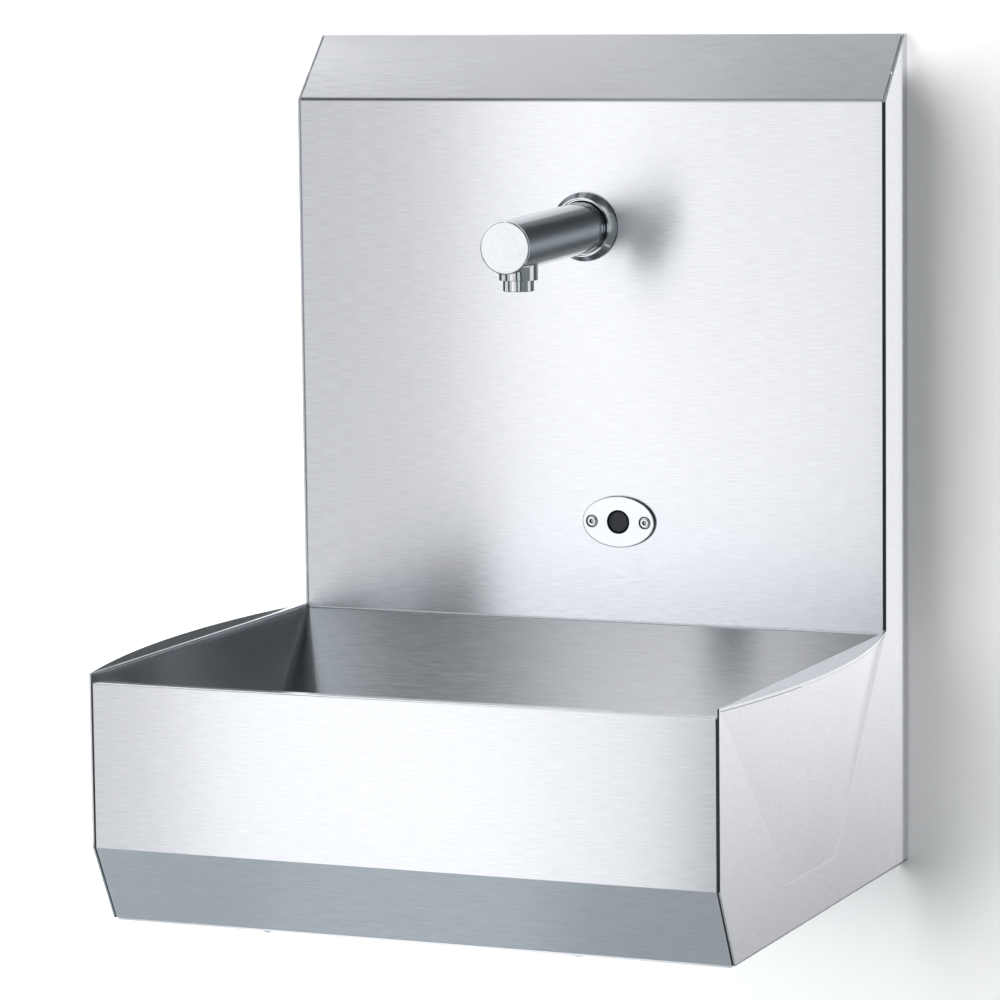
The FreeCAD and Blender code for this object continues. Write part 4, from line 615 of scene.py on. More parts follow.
def swell_section(size, foot, rim, plain=False):
    """Points of one section: up the outside, over the rim flange, round its lip and down the inside.
    A plain section has square folds and no seam."""
    outer, inner = size.half_width, size.half_width - size.gauge
    seam, fold, lip_fold = (0.0, 0.0, 0.0) if plain else (size.seam, size.rim_fold, size.lip_fold)
    rim_x, rim_y, rim_z = rim
    low, under = rim_z - size.seam_drop, rim_z - size.gauge
    up = [n / size.rows for n in range(size.rows + 1)]
    steps = [math.radians(angle) for angle in (30, 60, 90)]
    points = [between((outer, *foot), (rim_x, rim_y, low), part) for part in up]
    points += [(rim_x - seam, rim_y, low), (rim_x - seam, rim_y, low + seam), (rim_x, rim_y, low + seam)]
    points.append((rim_x, rim_y, rim_z - fold))
    points += [(rim_x - fold + fold * math.cos(a), rim_y, rim_z - fold + fold * math.sin(a)) for a in steps]
    fold = min(lip_fold, LIP_SHARE * (rim_x - inner))
    points += [(inner + fold - fold * math.sin(a), rim_y, rim_z - fold + fold * math.cos(a))
               for a in (0.0, *steps)]
    room = rim_x - outer
    lip_x = inner + min(LIP_GAUGE, room)
    lip_z = under - (size.lip - size.gauge) * min(1.0, room / LIP_GAUGE)
    points += [(inner, rim_y, lip_z), (lip_x, rim_y, lip_z), (lip_x, rim_y, under)]
    points += [between((inner, *foot), (rim_x - size.gauge, rim_y, under), part) for part in reversed(up)]
    return points


def swell_sections(size):
    """Sections from the front edge of the cheek, through the swell, to the plane of the panel."""
    outer, rim_z = size.half_width, RIM_FRONT[1]
    sections = [swell_section(size, CHIN, (outer, CHIN[0], rim_z), plain=True)]
    for n in range(size.columns + 1):
        part = n / size.columns
        foot = (along(FOOT_FRONT[0], FOOT_REAR[0], part), FOOT_FRONT[1])
        sections.append(swell_section(size, foot, (*rim_arc(size, part), rim_z)))
    sections.append(swell_section(size, (PANEL, FOOT_REAR[1]), (outer, PANEL, rim_z), plain=True))
    return sections


def press_swell(body, size):
    """The faces between the sections, with painted shadow in the front of their seam and painted light on
    their lip's fold and face; returns the sections' corners.
    """
    grid = [[body.verts.new(point) for point in section] for section in swell_sections(size)]
    seam = range(size.rows, size.rows + SEAM_END)
    lip = range(size.rows + RIM_INNER, size.rows + LIP_END)
    for column, (near, far) in enumerate(zip(grid, grid[1:])):
        for n in range(len(near) - 1):
            face = body.faces.new((near[n], far[n], far[n + 1], near[n + 1]))
            if n in lip:
                face.material_index = LIP_LIGHT
            elif n in seam and column < size.columns * DARK_SEAM:
                face.material_index = SHADOW
    return grid


def flat_side(body, x, feet, rear_edge):
    """One side of the flat sheet under and behind the swell; returns its outline from chin to shoulder.
    The rear edge of the swell runs from the rim down to its foot."""
    corners = [TOE, (PANEL, TOE[1]), (0.0, TOE[1]), (0.0, CREST[1]), CREST, (PANEL, SHOULDER)]
    toe, heel, *upper = [body.verts.new((x, *corner)) for corner in corners]
    body.faces.new([toe, heel] + feet[::-1])
    body.faces.new([heel] + upper + rear_edge)
    return [feet[0], toe, heel] + upper


def cheek_skin(size, dark_edge):
    """The folded sheet of the right cheek, without its flanges, as a closed mesh.
    A dark edge is one whose cut faces beside apron and panel lie in shadow."""
    body = bmesh.new()
    grid = press_swell(body, size)
    cut = SHADOW if dark_edge else SHEET
    body.faces.new(grid[0]).material_index = cut
    rim_outer, rim_inner = size.rows + RIM_OUTER, size.rows + RIM_INNER
    outside = flat_side(body, size.half_width, [section[0] for section in grid], grid[-1][rim_outer::-1])
    inside = flat_side(body, size.half_width - size.gauge, [section[-1] for section in grid],
                       grid[-1][rim_inner:])
    for n in range(len(outside) - 1):
        body.faces.new((outside[n], outside[n + 1], inside[n + 1], inside[n]))
    edge = body.faces.new([inside[-1], outside[-1]] + grid[-1][rim_outer:rim_inner + 1])
    edge.material_index = cut
    bmesh.ops.remove_doubles(body, verts=body.verts, dist=SHEET_MERGE)
    bmesh.ops.dissolve_degenerate(body, edges=body.edges, dist=SHEET_MERGE)
    bmesh.ops.recalc_face_normals(body, faces=body.faces)
    return body


def merged_copy(name, distance=MERGE):
    """A copy of a CAD node's mesh with its loose triangles joined."""
    body = bmesh.new()
    body.from_mesh(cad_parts[name].data)
    bmesh.ops.remove_doubles(body, verts=body.verts, dist=distance)
    return body


def flanges_of(name, inside):
    """A copy of the CAD cheek's flanges, which stay as they are, closed where they meet the sheet."""
    body = merged_copy(name)
    skin = [face for face in body.faces if all(abs(vert.co.x) > inside for vert in face.verts)]
    bmesh.ops.delete(body, geom=skin, context="FACES")
    bmesh.ops.holes_fill(body, edges=[edge for edge in body.edges if edge.is_boundary], sides=0)
    return body


def on_line(edge, first, last, x):
    """Whether an edge lies at x on the line between two (y, z) points."""
    start, end = Vector((x, *first)), Vector((x, *last))
    way = (end - start).normalized()
    for vert in edge.verts:
        reach = (vert.co - start).dot(way)
        aside = ((vert.co - start) - way * reach).length
        if aside >= TOUCH or not -TOUCH < reach < (end - start).length + TOUCH:
            return False
    return True


def edges_on(body, path, x):
    """The edges at x that lie along a path of (y, z) points."""
    return [edge for edge in body.edges
            if any(on_line(edge, first, last, x) for first, last in zip(path, path[1:]))]


def soften(body, edges, width, material=UNCHANGED):
    bmesh.ops.bevel(body, geom=edges, offset=width, offset_type="OFFSET", segments=EDGE_SEGMENTS, profile=0.5,
                    affect="EDGES", clamp_overlap=True, material=material)


def shade_by_angle(body, limit):
    for face in body.faces:
        face.smooth = True
    for edge in body.edges:
        edge.smooth = edge.is_manifold and edge.calc_face_angle() < limit


def mesh_of(name, body, materials=()):
    mesh = bpy.data.meshes.new(name)
    body.to_mesh(mesh)
    body.free()
    for material in materials:
        mesh.materials.append(material)
    return mesh


def add_piece(name, mesh, slot, *node_names, weighted=True):
    """Adds a finished mesh to the housing; it stands for the CAD nodes that are named."""
    piece = bpy.data.objects.new(name, mesh)
    bpy.context.scene.collection.objects.link(piece)
    if weighted:
        normal = piece.modifiers.new("normal", "WEIGHTED_NORMAL")
        normal.keep_sharp = True
    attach(piece, "housing")
    if node_names:
        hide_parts(*node_names)
    return piece


def fold_edges(body, size):
    """Rounds the outline of the sheet and the creases round its swell, with painted shadow on the bottom's
    bevel and a painted highlight on the bevels of the front edge and of the foot and rear creases.
    """
    top = RIM_FRONT[1] - size.seam_drop
    bottom = [TOE, (0.0, TOE[1])]
    front = [(CHIN[0], RIM_FRONT[1]), CHIN, TOE]
    rest = [(0.0, TOE[1]), (0.0, CREST[1]), CREST, (PANEL, SHOULDER), (PANEL, RIM_REAR[1])]
    creases = [FOOT_FRONT, FOOT_REAR, (RIM_REAR[0], top)]
    front_crease = [(RIM_FRONT[0], top), FOOT_FRONT]
    for path, width, steel in ((bottom, size.edge, SHADOW), (front, size.edge, PAINTED_HIGHLIGHT),
                               (rest, size.edge, SHEET), (creases, size.crease, PAINTED_HIGHLIGHT),
                               (front_crease, size.crease, UNCHANGED)):
        soften(body, edges_on(body, path, size.half_width), width, steel)


def make_cheek(side, name, size, sharp):
    """One cheek: the sheet with its swell and creases, and the flanges behind it."""
    body = cheek_skin(size, dark_edge=side > 0)
    fold_edges(body, size)
    if side < 0:
        bmesh.ops.scale(body, vec=(-1.0, 1.0, 1.0), verts=body.verts)
    bmesh.ops.recalc_face_normals(body, faces=body.faces)
    flanges = mesh_of("flanges", flanges_of(name, size.half_width - size.gauge - FLANGE_GAP))
    body.from_mesh(flanges)
    bpy.data.meshes.remove(flanges)
    shade_by_angle(body, sharp)
    sheet = mesh_of(f"{name}_sheet", body, [MATERIALS[steel] for steel in CHEEK_STEELS])
    add_piece(f"{name}_sheet", sheet, "sheet_steel", name)


# Turned pieces and fasteners

def ring_radius(radius, sides, angle):
    """The distance to a circle, or to a polygon through that radius, in one direction."""
    if not sides:
        return radius
    step = 2 * math.pi / sides
    return radius * math.cos(step / 2) / math.cos(angle % step - step / 2)


def turned(rings, body=None):
    """Rings of (radius, height toward the front, sides) about the Y axis; a radius of nothing is a pole."""
    body = body or bmesh.new()
    angles = [2 * math.pi * n / TURNED_SEGMENTS for n in range(TURNED_SEGMENTS)]
    loops = []
    for radius, height, sides in rings:
        if radius == 0:
            loops.append([body.verts.new((0.0, -height, 0.0))] * TURNED_SEGMENTS)
            continue
        reach = [(ring_radius(radius, sides, angle), angle) for angle in angles]
        loops.append([body.verts.new((r * math.cos(a), -height, r * math.sin(a))) for r, a in reach])
    strips = []
    for near, far in zip(loops, loops[1:]):
        strip = []
        for n in range(TURNED_SEGMENTS):
            corners = [near[n - 1], near[n], far[n], far[n - 1]]
            strip.append(body.faces.new(list(dict.fromkeys(corners))))
        strips.append(strip)
    return body, strips


def face_outward(body, sharp):
    """Turns the faces outward and shades them."""
    bmesh.ops.recalc_face_normals(body, faces=body.faces)
    shade_by_angle(body, sharp)
    return body


def fastener_row():
    """A tree that sets one fastener on every point, each turned by chance about its own axis."""
    tree, start, end = new_modifier("fastener_row", [
        ("Fastener", "NodeSocketObject"), ("Largest turn", "NodeSocketFloat"),
        ("Material", "NodeSocketMaterial")])
    pattern = add_node(tree, "GeometryNodeObjectInfo", {"Object": start["Fastener"], "As Instance": True})
    largest_number = 3
    values = {largest_number: start["Largest turn"], "Seed": 4}
    chance = add_node(tree, "FunctionNodeRandomValue", values, data_type="FLOAT")
    turn = add_node(tree, "ShaderNodeCombineXYZ", {"Y": chance.outputs[1]})
    place = add_node(tree, "GeometryNodeInstanceOnPoints", {
        "Points": start["Geometry"], "Instance": pattern.outputs["Geometry"], "Rotation": turn.outputs[0]})
    real = add_node(tree, "GeometryNodeRealizeInstances", {0: place.outputs[0]})
    values = {"Geometry": real.outputs[0], "Material": start["Material"]}
    paint = add_node(tree, "GeometryNodeSetMaterial", values)
    connect(tree, end, {0: paint.outputs[0]})
    return tree


def row_mesh(name, body, spots, material):
    """The fastener repeated on its spots, as one plain mesh."""
    pattern = bpy.data.objects.new(f"{name}_pattern", mesh_of(f"{name}_pattern", body))
    points = bpy.data.meshes.new(f"{name}_spots")
    points.from_pydata(spots, [], [])
    carrier = bpy.data.objects.new(f"{name}_spots", points)
    for item in (pattern, carrier):
        bpy.context.scene.collection.objects.link(item)
    row = carrier.modifiers.new("row", "NODES")
    row.node_group = bpy.data.node_groups.get("fastener_row") or fastener_row()
    for label, given in (("Fastener", pattern), ("Largest turn", LARGEST_TURN), ("Material", material)):
        row[socket_of(row.node_group, label)] = given
    evaluated = carrier.evaluated_get(bpy.context.evaluated_depsgraph_get())
    mesh = bpy.data.meshes.new_from_object(evaluated)
    mesh.name = name
    mesh.materials.clear()
    mesh.materials.append(material)
    mesh.polygons.foreach_set("material_index", [0] * len(mesh.polygons))
    for item in (carrier, pattern):
        bpy.data.objects.remove(item)
    return mesh


def millimetres(rings):
    return [(radius / 1000, height / 1000, sides) for radius, height, sides in rings]


def screw_head():
    """A low cap head on its washer face, with a hexagon socket."""
    return turned(millimetres([
        (0, 0, 0), (4.2, 0, 0), (4.2, 0.45, 0), (4.05, 0.6, 0), (3.6, 0.6, 0), (3.5, 0.7, 0), (3.5, 2.1, 0),
        (3.4, 2.3, 0), (3.2, 2.4, 0), (1.95, 2.4, 6), (1.8, 2.25, 6), (1.8, 0.9, 6), (0, 0.9, 0)]))[0]


def screw_shadow():
    """Painted shadow: a dark ring round a head, in the gap to its seat, and a dark ring of painted shade in
    its socket.
    """
    body = turned(millimetres([(4.25, 0, 0), (4.95, 0, 0), (4.95, 0.2, 0), (4.25, 0.2, 0), (4.25, 0, 0)]))[0]
    ring = [(0.8, 0.95, 0), (1.75, 0.95, 6), (1.75, 1.5, 6), (0.8, 1.5, 0), (0.8, 0.95, 0)]
    return turned(millimetres(ring), body=body)[0]


def lens_body(radius, depth):
    """The sensor's window: a black rim round a low dome."""
    rim, dome = radius - LENS_RIM, radius - LENS_DOME
    bed, top = depth - LENS_STEP, depth + LENS_STEP
    rings = [(0, 0, 0), (radius, 0, 0), (radius, depth, 0), (radius - LENS_STEP, top, 0), (rim, top, 0),
             (rim, bed, 0), (dome, bed, 0)]
    black = len(rings) - 1
    rings += [(dome * math.cos(a), bed + LENS_RISE * math.sin(a), 0)
              for a in (math.radians(angle) for angle in (15, 30, 45, 60, 75))]
    body, strips = turned(rings + [(0, bed + LENS_RISE, 0)])
    for face in sum(strips[:black], []):
        face.material_index = 1
    return body


def plate_copy(name, edges):
    """The sensor's plate with a rounded front and a dark edge."""
    body = merged_copy(name)
    bmesh.ops.dissolve_limit(body, angle_limit=edges.flat, verts=body.verts, edges=body.edges)
    low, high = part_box(name)
    centre, half = (low + high) / 2, (high - low) / 2
    corners = [edge for edge in body.edges if edge.is_manifold and edge.calc_face_angle() > edges.sharp]
    soften(body, corners, PLATE_ROUNDING)
    for face in body.faces:
        offset = face.calc_center_median() - centre
        outside = (offset.x / half.x) ** 2 + (offset.z / half.z) ** 2
        face.material_index = 1 if outside > PLATE_EDGE and abs(face.normal.y) < PLATE_SIDE else 0
    shade_by_angle(body, edges.sharp)
    for face in body.faces:
        face.smooth = abs(face.normal.y) < PLATE_FRONT
    return body


def bead(size):
    """The weld bead along the foot of the panel, with the ripples of its passes."""
    body = bmesh.new()
    half, middle = size.half_width - BEAD_END, PANEL + BEAD_SET
    angles = [2 * math.pi * n / BEAD_SIDES for n in range(BEAD_SIDES)]
    loops = []
    for n in range(BEAD_STEPS + 1):
        x = along(-half, half, n / BEAD_STEPS)
        radius = BEAD_RADIUS + sum(BEAD_RIPPLE * math.sin(wave * x) for wave in BEAD_WAVES)
        loops.append([body.verts.new((x, middle + radius * math.cos(a), BEAD_HEIGHT + radius * math.sin(a)))
                      for a in angles])
    for near, far in zip(loops, loops[1:]):
        for n in range(BEAD_SIDES):
            body.faces.new((near[n - 1], near[n], far[n], far[n - 1]))
    body.faces.new(loops[0])
    body.faces.new(loops[-1])
    return body


def joint_strip(body, outline, left, right):
    """A closed strip of painted shadow through (y, z) corners, as wide as the gap that it fills."""
    ends = [[body.verts.new((x, *corner)) for corner in outline] for x in (left, right)]
    for end in ends:
        body.faces.new(end)
    for n in range(len(outline)):
        body.faces.new((ends[0][n - 1], ends[0][n], ends[1][n], ends[1][n - 1]))


def joints(size):
    """Painted shadow: dark strips, a hair back from the face, in the gaps beside the apron and at the right
    of the panel.
    """
    body = bmesh.new()
    near, far = size.half_width - JOINT_START, size.half_width - size.gauge - JOINT_BACK
    foot, top = APRON_JOINT
    chin, toe = CHIN[0] + JOINT_BACK, TOE[0] + JOINT_BACK
    apron = [(chin, top), (chin, CHIN[1]), (toe, foot), (toe + JOINT_DEPTH, foot),
             (chin + JOINT_DEPTH, CHIN[1] + JOINT_DEPTH / 3), (chin + JOINT_DEPTH, top)]
    for left, right in ((near, far), (-far, -near)):
        joint_strip(body, apron, left, right)
    foot, top = PANEL_JOINT
    front, rear = PANEL + JOINT_BACK, PANEL + JOINT_DEPTH
    joint_strip(body, [(front, foot), (front, top), (rear, top), (rear, foot)], near, far)
    return body


def fit_plate(edges):
    steels = [MATERIALS["satin_steel"], MATERIALS["seam_shade"]]
    plate = mesh_of("sensor_front", plate_copy("sensor_plate", edges), steels)
    add_piece("sensor_front", plate, "satin_steel", "sensor_plate", weighted=False)


def fit_lens(sharp):
    low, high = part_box("sensor_window")
    body = face_outward(lens_body((high.x - low.x) / 2, high.y - low.y), sharp)
    bmesh.ops.translate(body, verts=body.verts, vec=((low.x + high.x) / 2, high.y, (low.z + high.z) / 2))
    lens = mesh_of("sensor_lens", body, [MATERIALS["window_dark"], MATERIALS["lens_rim"]])
    add_piece("sensor_lens", lens, "window_dark", "sensor_window")


def fit_screws(sharp):
    low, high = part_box("sensor_screws")
    height, head = (low.z + high.z) / 2, (high.z - low.z) / 2
    spots = [(x, low.y + SCREW_HEAD, height) for x in (low.x + head, high.x - head)]
    # The second row is dark rubber: painted shadow round each head and in its socket
    for name, body, slot in (("sensor_screw_heads", screw_head(), "fastener_steel"),
                             ("sensor_screw_seals", screw_shadow(), "seal_rubber")):
        row = row_mesh(name, face_outward(body, sharp), spots, MATERIALS[slot])
        add_piece(name, row, slot, "sensor_screws")


# Stage

PLAIN_WHITE = (1.0, 1.0, 1.0, 1.0)
COOL = (0.9, 1.0, 1.04, 1.0)
WHITE = (0.988, 0.99, 1.0, 1.0)
# Ways that a card may face
DOWN, UP = (0.0, 0.0, -1.0), (0.0, 0.0, 1.0)
FORWARD, BACKWARD = (0.0, -1.0, 0.0), (0.0, 1.0, 0.0)
LEFTWARD = (-1.0, 0.0, 0.0)
# The room's half width, top and front, the wall's plane, and the inset of its opening behind the basin
ROOM_HALF = 4.0
ROOM_TOP = 3.0
ROOM_FRONT = -6.0
WALL_PLANE = 0.001
OPENING_INSET = 0.06
# Flags that shade the wall: inset from the basin's right side, and depth of the upright and the level one
FLAG_INSET = 0.03
FLAG_DEPTH = -0.058
LOW_FLAG_DEPTH = -0.07

CEILING_HEIGHT = 1.7
# Glowing ceiling panels: name, left and right, rear and front, strength, colour
CEILING = (
    ("rear_left_ceiling", (-2.2, -1.3), (0.0, -0.06), 0.9, WHITE),
    ("rear_bright_ceiling", (-1.3, -0.5), (0.0, -0.06), 3.0, WHITE),
    ("rear_middle_ceiling", (-0.5, 0.5), (0.0, -0.06), 0.3, COOL),
    ("rear_glow_ceiling", (0.5, 1.1), (0.0, -0.1), 3.2, WHITE),
    ("rear_right_ceiling", (1.1, 3.0), (0.0, -0.06), 0.3, COOL),
    ("near_left_ceiling", (-2.2, -0.5), (-0.06, -0.5), 0.2, WHITE),
    ("near_middle_ceiling", (-0.5, -0.38), (-0.06, -0.5), 0.66, WHITE),
    ("near_right_ceiling", (-0.38, 0.0), (-0.06, -0.5), 0.48, COOL),
    ("near_dark_ceiling", (0.0, 0.5), (-0.06, -0.5), 0.12, COOL),
    ("under_glow_ceiling", (0.5, 1.1), (-0.1, -0.5), 0.12, COOL),
    ("far_right_ceiling", (1.1, 3.0), (-0.06, -0.5), 0.12, COOL),
    ("left_ceiling", (-2.4, -1.1), (-0.5, -2.7), 0.74, COOL),
    ("dark_ceiling", (-1.1, -0.93), (-0.5, -2.7), 0.02, COOL),
    ("dusk_ceiling", (-0.93, -0.84), (-0.5, -2.7), 0.36, COOL),
    ("middle_ceiling", (-0.84, -0.47), (-0.5, -2.7), 1.04, WHITE),
    ("dim_ceiling", (-0.47, -0.3), (-0.5, -2.7), 0.12, COOL),
    ("right_ceiling", (-0.3, 3.0), (-0.5, -2.7), 0.1, COOL),
    ("front_ceiling", (-2.4, 3.0), (-2.7, -4.0), 0.06, COOL),
)
# Glowing panels in front: plane, middle, height, heights between which they fade to their foot
FRONT_PLANE = -1.54
FRONT_MIDDLE = 0.3
FRONT_HEIGHT = 2.2
FRONT_FADE = (0.05, -0.4)
# Each of them: name, left and right, strength, strength at the foot
FRONT_CARDS = (
    ("far_left_front", (-2.6, -1.5), 0.06, 0.06),
    ("left_front", (-1.5, -0.72), 0.85, 0.97),
    ("key_core", (-0.72, -0.48), 1.64, 1.64),
    ("key_right", (-0.48, -0.34), 1.26, 1.68),
    ("key_edge", (-0.34, -0.18), 1.32, 1.44),
)
# White beside the basin's right, which darkens toward the floor
PALE_SIDE = {"tone": WHITE, "bottom": 0.68, "fade": (-0.165, -0.355)}
# Other glowing cards: name, place, width, height, strength and what else differs
SIDE_CARDS = (
    ("right_side", (2.6, -1.2, 0.3), 2.8, 2.8, 0.3, {}),
    ("right_front", (1.5, -3.0, 0.3), 2.6, 2.8, 0.08, {}),
    ("right_patch", (1.15, -2.8, 0.0), 0.8, 0.7, 1.0, {}),
    ("cheek_side", (0.295, -0.31, -0.29), 0.6, 0.3, 1.19, {"toward": LEFTWARD, **PALE_SIDE}),
    ("back_right", (1.253, -0.004, 0.0), 2.0, 2.0, 1.19, {"toward": FORWARD, **PALE_SIDE}),
)
BACK_CARDS = (
    ("high_back_right", (0.8, -0.004, 1.45), 0.6, 0.5, 4.0, {"toward": FORWARD, "tone": WHITE}),
    ("far_back_right", (2.85, -0.004, 0.4), 1.1, 1.4, 0.55, {"toward": FORWARD}),
    ("back_left", (-1.286, -0.004, -0.375), 1.988, 1.25, 0.11, {"toward": FORWARD}),
    ("high_back_left", (-1.28, -0.004, 0.975), 2.0, 1.45, 2.9, {"toward": FORWARD, "tone": WHITE}),
)


def one_sided(tree, shader):
    """The shader from the front, clear from behind."""
    behind = tree.nodes.new("ShaderNodeNewGeometry").outputs["Backfacing"]
    clear = tree.nodes.new("ShaderNodeBsdfTransparent").outputs[0]
    choose = add_node(tree, "ShaderNodeMixShader", {0: behind, 1: shader, 2: clear})
    add_node(tree, "ShaderNodeOutputMaterial", {"Surface": choose.outputs[0]})


def stage_material(name):
    material = bpy.data.materials.new(name)
    material.use_nodes = True
    material.node_tree.nodes.clear()
    return material, material.node_tree


def matt_stage(name, shade, glow, tone=WHITE):
    """Matt paint with a faint glow."""
    material, tree = stage_material(name)
    paint = [shade * part for part in tone[:3]] + [1.0]
    matt = add_node(tree, "ShaderNodeBsdfDiffuse", {"Color": paint})
    light = add_node(tree, "ShaderNodeEmission", {"Color": tone, "Strength": glow})
    both = add_node(tree, "ShaderNodeAddShader", {0: matt.outputs[0], 1: light.outputs[0]})
    one_sided(tree, both.outputs[0])
    return material


def glowing_stage(name, tone, top, bottom, high, low):
    """A card that glows from one strength at its top to another at its bottom."""
    material, tree = stage_material(name)
    place = parts_of(tree, tree.nodes.new("ShaderNodeTexCoord").outputs["Object"])
    fade = add_node(tree, "ShaderNodeMapRange", {
        "Value": place["Z"], "From Min": low, "From Max": high, "To Min": bottom, "To Max": top})
    light = add_node(tree, "ShaderNodeEmission", {"Color": tone, "Strength": fade.outputs[0]})
    one_sided(tree, light.outputs[0])
    return material


def stage_sheet(name, corners, material, hole=None):
    """A flat stage piece through its corners, in order seen from its front, with an optional opening."""
    mesh = bpy.data.meshes.new(name)
    if hole:
        ring = [(n, (n + 1) % 4, 4 + (n + 1) % 4, 4 + n) for n in range(4)]
        mesh.from_pydata(corners + hole, [], ring)
    else:
        mesh.from_pydata(corners, [], [(0, 1, 2, 3)])
    mesh.materials.append(material)
    item = bpy.data.objects.new(name, mesh)
    bpy.context.scene.collection.objects.link(item)
    return item


def stage_card(name, place, width, height, top, tone=COOL, bottom=None, fade=(0.0, -0.3), toward=None):
    """A glowing card that faces the basin, or the way that is given, and that only its metal sees."""
    facing = Vector(toward) if toward else -Vector(place)
    turn = facing.to_track_quat("Z", "Y").to_matrix()
    across, upward = turn.col[0] * width / 2, turn.col[1] * height / 2
    ends = ((-1, -1), (1, -1), (1, 1), (-1, 1))
    corners = [tuple(Vector(place) + across * x + upward * y) for x, y in ends]
    glow = glowing_stage(name, tone, top, top if bottom is None else bottom, *fade)
    card = stage_sheet(name, corners, glow)
    card.visible_camera = False
    card.visible_diffuse = False
    card.visible_shadow = False


def wall_corners(left, right, bottom, top):
    """Corners of a rectangle in the plane of the wall."""
    return [(x, WALL_PLANE, z) for x, z in ((left, bottom), (right, bottom), (right, top), (left, top))]


def make_room(floor):
    """The wall, which is open behind the basin, and the floor."""
    low, high = CAD_BOX
    opening = wall_corners(low.x + OPENING_INSET, high.x - OPENING_INSET,
                           low.z + OPENING_INSET, high.z - OPENING_INSET)
    wall = stage_sheet("wall", wall_corners(-ROOM_HALF, ROOM_HALF, floor, ROOM_TOP),
                       matt_stage("wall_matt", shade=0.8, glow=0.155, tone=PLAIN_WHITE), hole=opening)
    corners = [(-ROOM_HALF, ROOM_FRONT, floor), (ROOM_HALF, ROOM_FRONT, floor),
               (ROOM_HALF, WALL_PLANE, floor), (-ROOM_HALF, WALL_PLANE, floor)]
    base = stage_sheet("floor", corners, matt_stage("floor_matt", shade=0.27, glow=0.115, tone=COOL))
    return [wall, base]


def hang_cards(floor):
    """The glowing cards that the metal mirrors: overhead, in front and round the basin."""
    for name, (left, right), (rear, front), glow, tone in CEILING:
        place = ((left + right) / 2, (rear + front) / 2, CEILING_HEIGHT)
        stage_card(name, place, right - left, rear - front, glow, tone=tone, toward=DOWN)
    for name, (left, right), glow, foot_glow in FRONT_CARDS:
        place = ((left + right) / 2, FRONT_PLANE, FRONT_MIDDLE)
        stage_card(name, place, right - left, FRONT_HEIGHT, glow, tone=WHITE, bottom=foot_glow,
                   fade=FRONT_FADE, toward=BACKWARD)
    floor_card = ("floor_glow", (-0.37, -0.84, floor + 0.002), 0.3, 0.6, 0.68, {"toward": UP})
    for name, place, width, height, glow, given in (*SIDE_CARDS, floor_card, *BACK_CARDS):
        stage_card(name, place, width, height, glow, **given)


def area_lamp(name, place, aim, width, height, power):
    lamp = bpy.data.lights.new(name, "AREA")
    lamp.shape = "RECTANGLE"
    lamp.size, lamp.size_y = width, height
    lamp.energy = power
    item = bpy.data.objects.new(name, lamp)
    item.location = place
    item.rotation_mode = "QUATERNION"
    item.rotation_quaternion = (Vector(aim) - Vector(place)).to_track_quat("-Z", "Z")
    item.visible_camera = False
    bpy.context.scene.collection.objects.link(item)
    return item


def link_light(lamp, lit, blockers):
    """Lets a lamp light only some stage pieces and lets only some pieces block it."""
    for label, pieces in (("receiver", lit), ("blocker", blockers)):
        group = bpy.data.collections.new(f"{lamp.name}_{label}s")
        for piece in pieces:
            group.objects.link(piece)
        setattr(lamp.light_linking, f"{label}_collection", group)


def shadow_flags():
    """Two dark sheets that hold the side lamp off the wall beside and under the basin."""
    low, high = CAD_BOX
    edge, foot = high.x - FLAG_INSET, TOE[1]
    upright = [(edge, FLAG_DEPTH, low.z - 0.05), (edge, 0.0, low.z + 0.02), (edge, 0.0, high.z - 0.03),
               (edge, FLAG_DEPTH - 0.02, high.z - 0.03)]
    level = [(0.0, 0.0, foot), (edge, 0.0, foot), (edge, LOW_FLAG_DEPTH, foot), (0.0, LOW_FLAG_DEPTH, foot)]
    flags = []
    for name, corners in (("side_flag", upright), ("low_flag", level)):
        flag = stage_sheet(name, corners, matt_stage(f"{name}_matt", shade=0.1, glow=0.0))
        flag.visible_camera = False
        flag.visible_glossy = False
        flags.append(flag)
    return flags


def set_lamps(stage, room):
    """The front softbox, and the side lamp that lights only the room."""
    key = area_lamp("key_softbox", place=(-0.47, -1.55, 0.3), aim=(-0.47, 0.0, 0.3), width=0.52, height=2.2,
                    power=stage.key_power)
    key.visible_glossy = False
    side = area_lamp("side_lamp", place=(-2.2, -1.5, 0.3), aim=(0.25, 0.0, 0.0), width=6.0, height=3.0,
                     power=stage.side_power)
    link_light(side, room, shadow_flags())


def studio_world(ambient):
    """White to the camera and in reflections, soft on matt surfaces."""
    world = bpy.data.worlds.new("studio")
    bpy.context.scene.world = world
    world.use_nodes = True
    tree = world.node_tree
    back = next(node for node in tree.nodes if node.type == "BACKGROUND")
    path = tree.nodes.new("ShaderNodeLightPath")
    seen = calculate(tree, "MAXIMUM", path.outputs["Is Camera Ray"], path.outputs["Is Glossy Ray"])
    seen = calculate(tree, "MAXIMUM", seen, path.outputs["Is Transmission Ray"])
    connect(tree, back, {"Color": PLAIN_WHITE, "Strength": calculate(tree, "MAXIMUM", seen, ambient)})


def place_camera(stage):
    yaw, pitch, roll = stage.yaw, stage.pitch, stage.roll
    ahead = Vector((-math.sin(yaw) * math.cos(pitch), math.cos(yaw) * math.cos(pitch), -math.sin(pitch)))
    level = Vector((math.cos(yaw), math.sin(yaw), 0.0))
    upward = level.cross(ahead)
    right = level * math.cos(roll) + upward * math.sin(roll)
    above = upward * math.cos(roll) - level * math.sin(roll)
    data = bpy.data.cameras.new("photo_camera")
    data.lens = stage.lens
    data.sensor_width = 36.0
    data.clip_end = 50.0
    camera = bpy.data.objects.new("photo_camera", data)
    turn = Matrix((right, above, -ahead)).transposed().to_4x4()
    camera.matrix_world = Matrix.Translation(Vector(stage.camera_place)) @ turn
    bpy.context.scene.collection.objects.link(camera)
    bpy.context.scene.camera = camera


# Operators

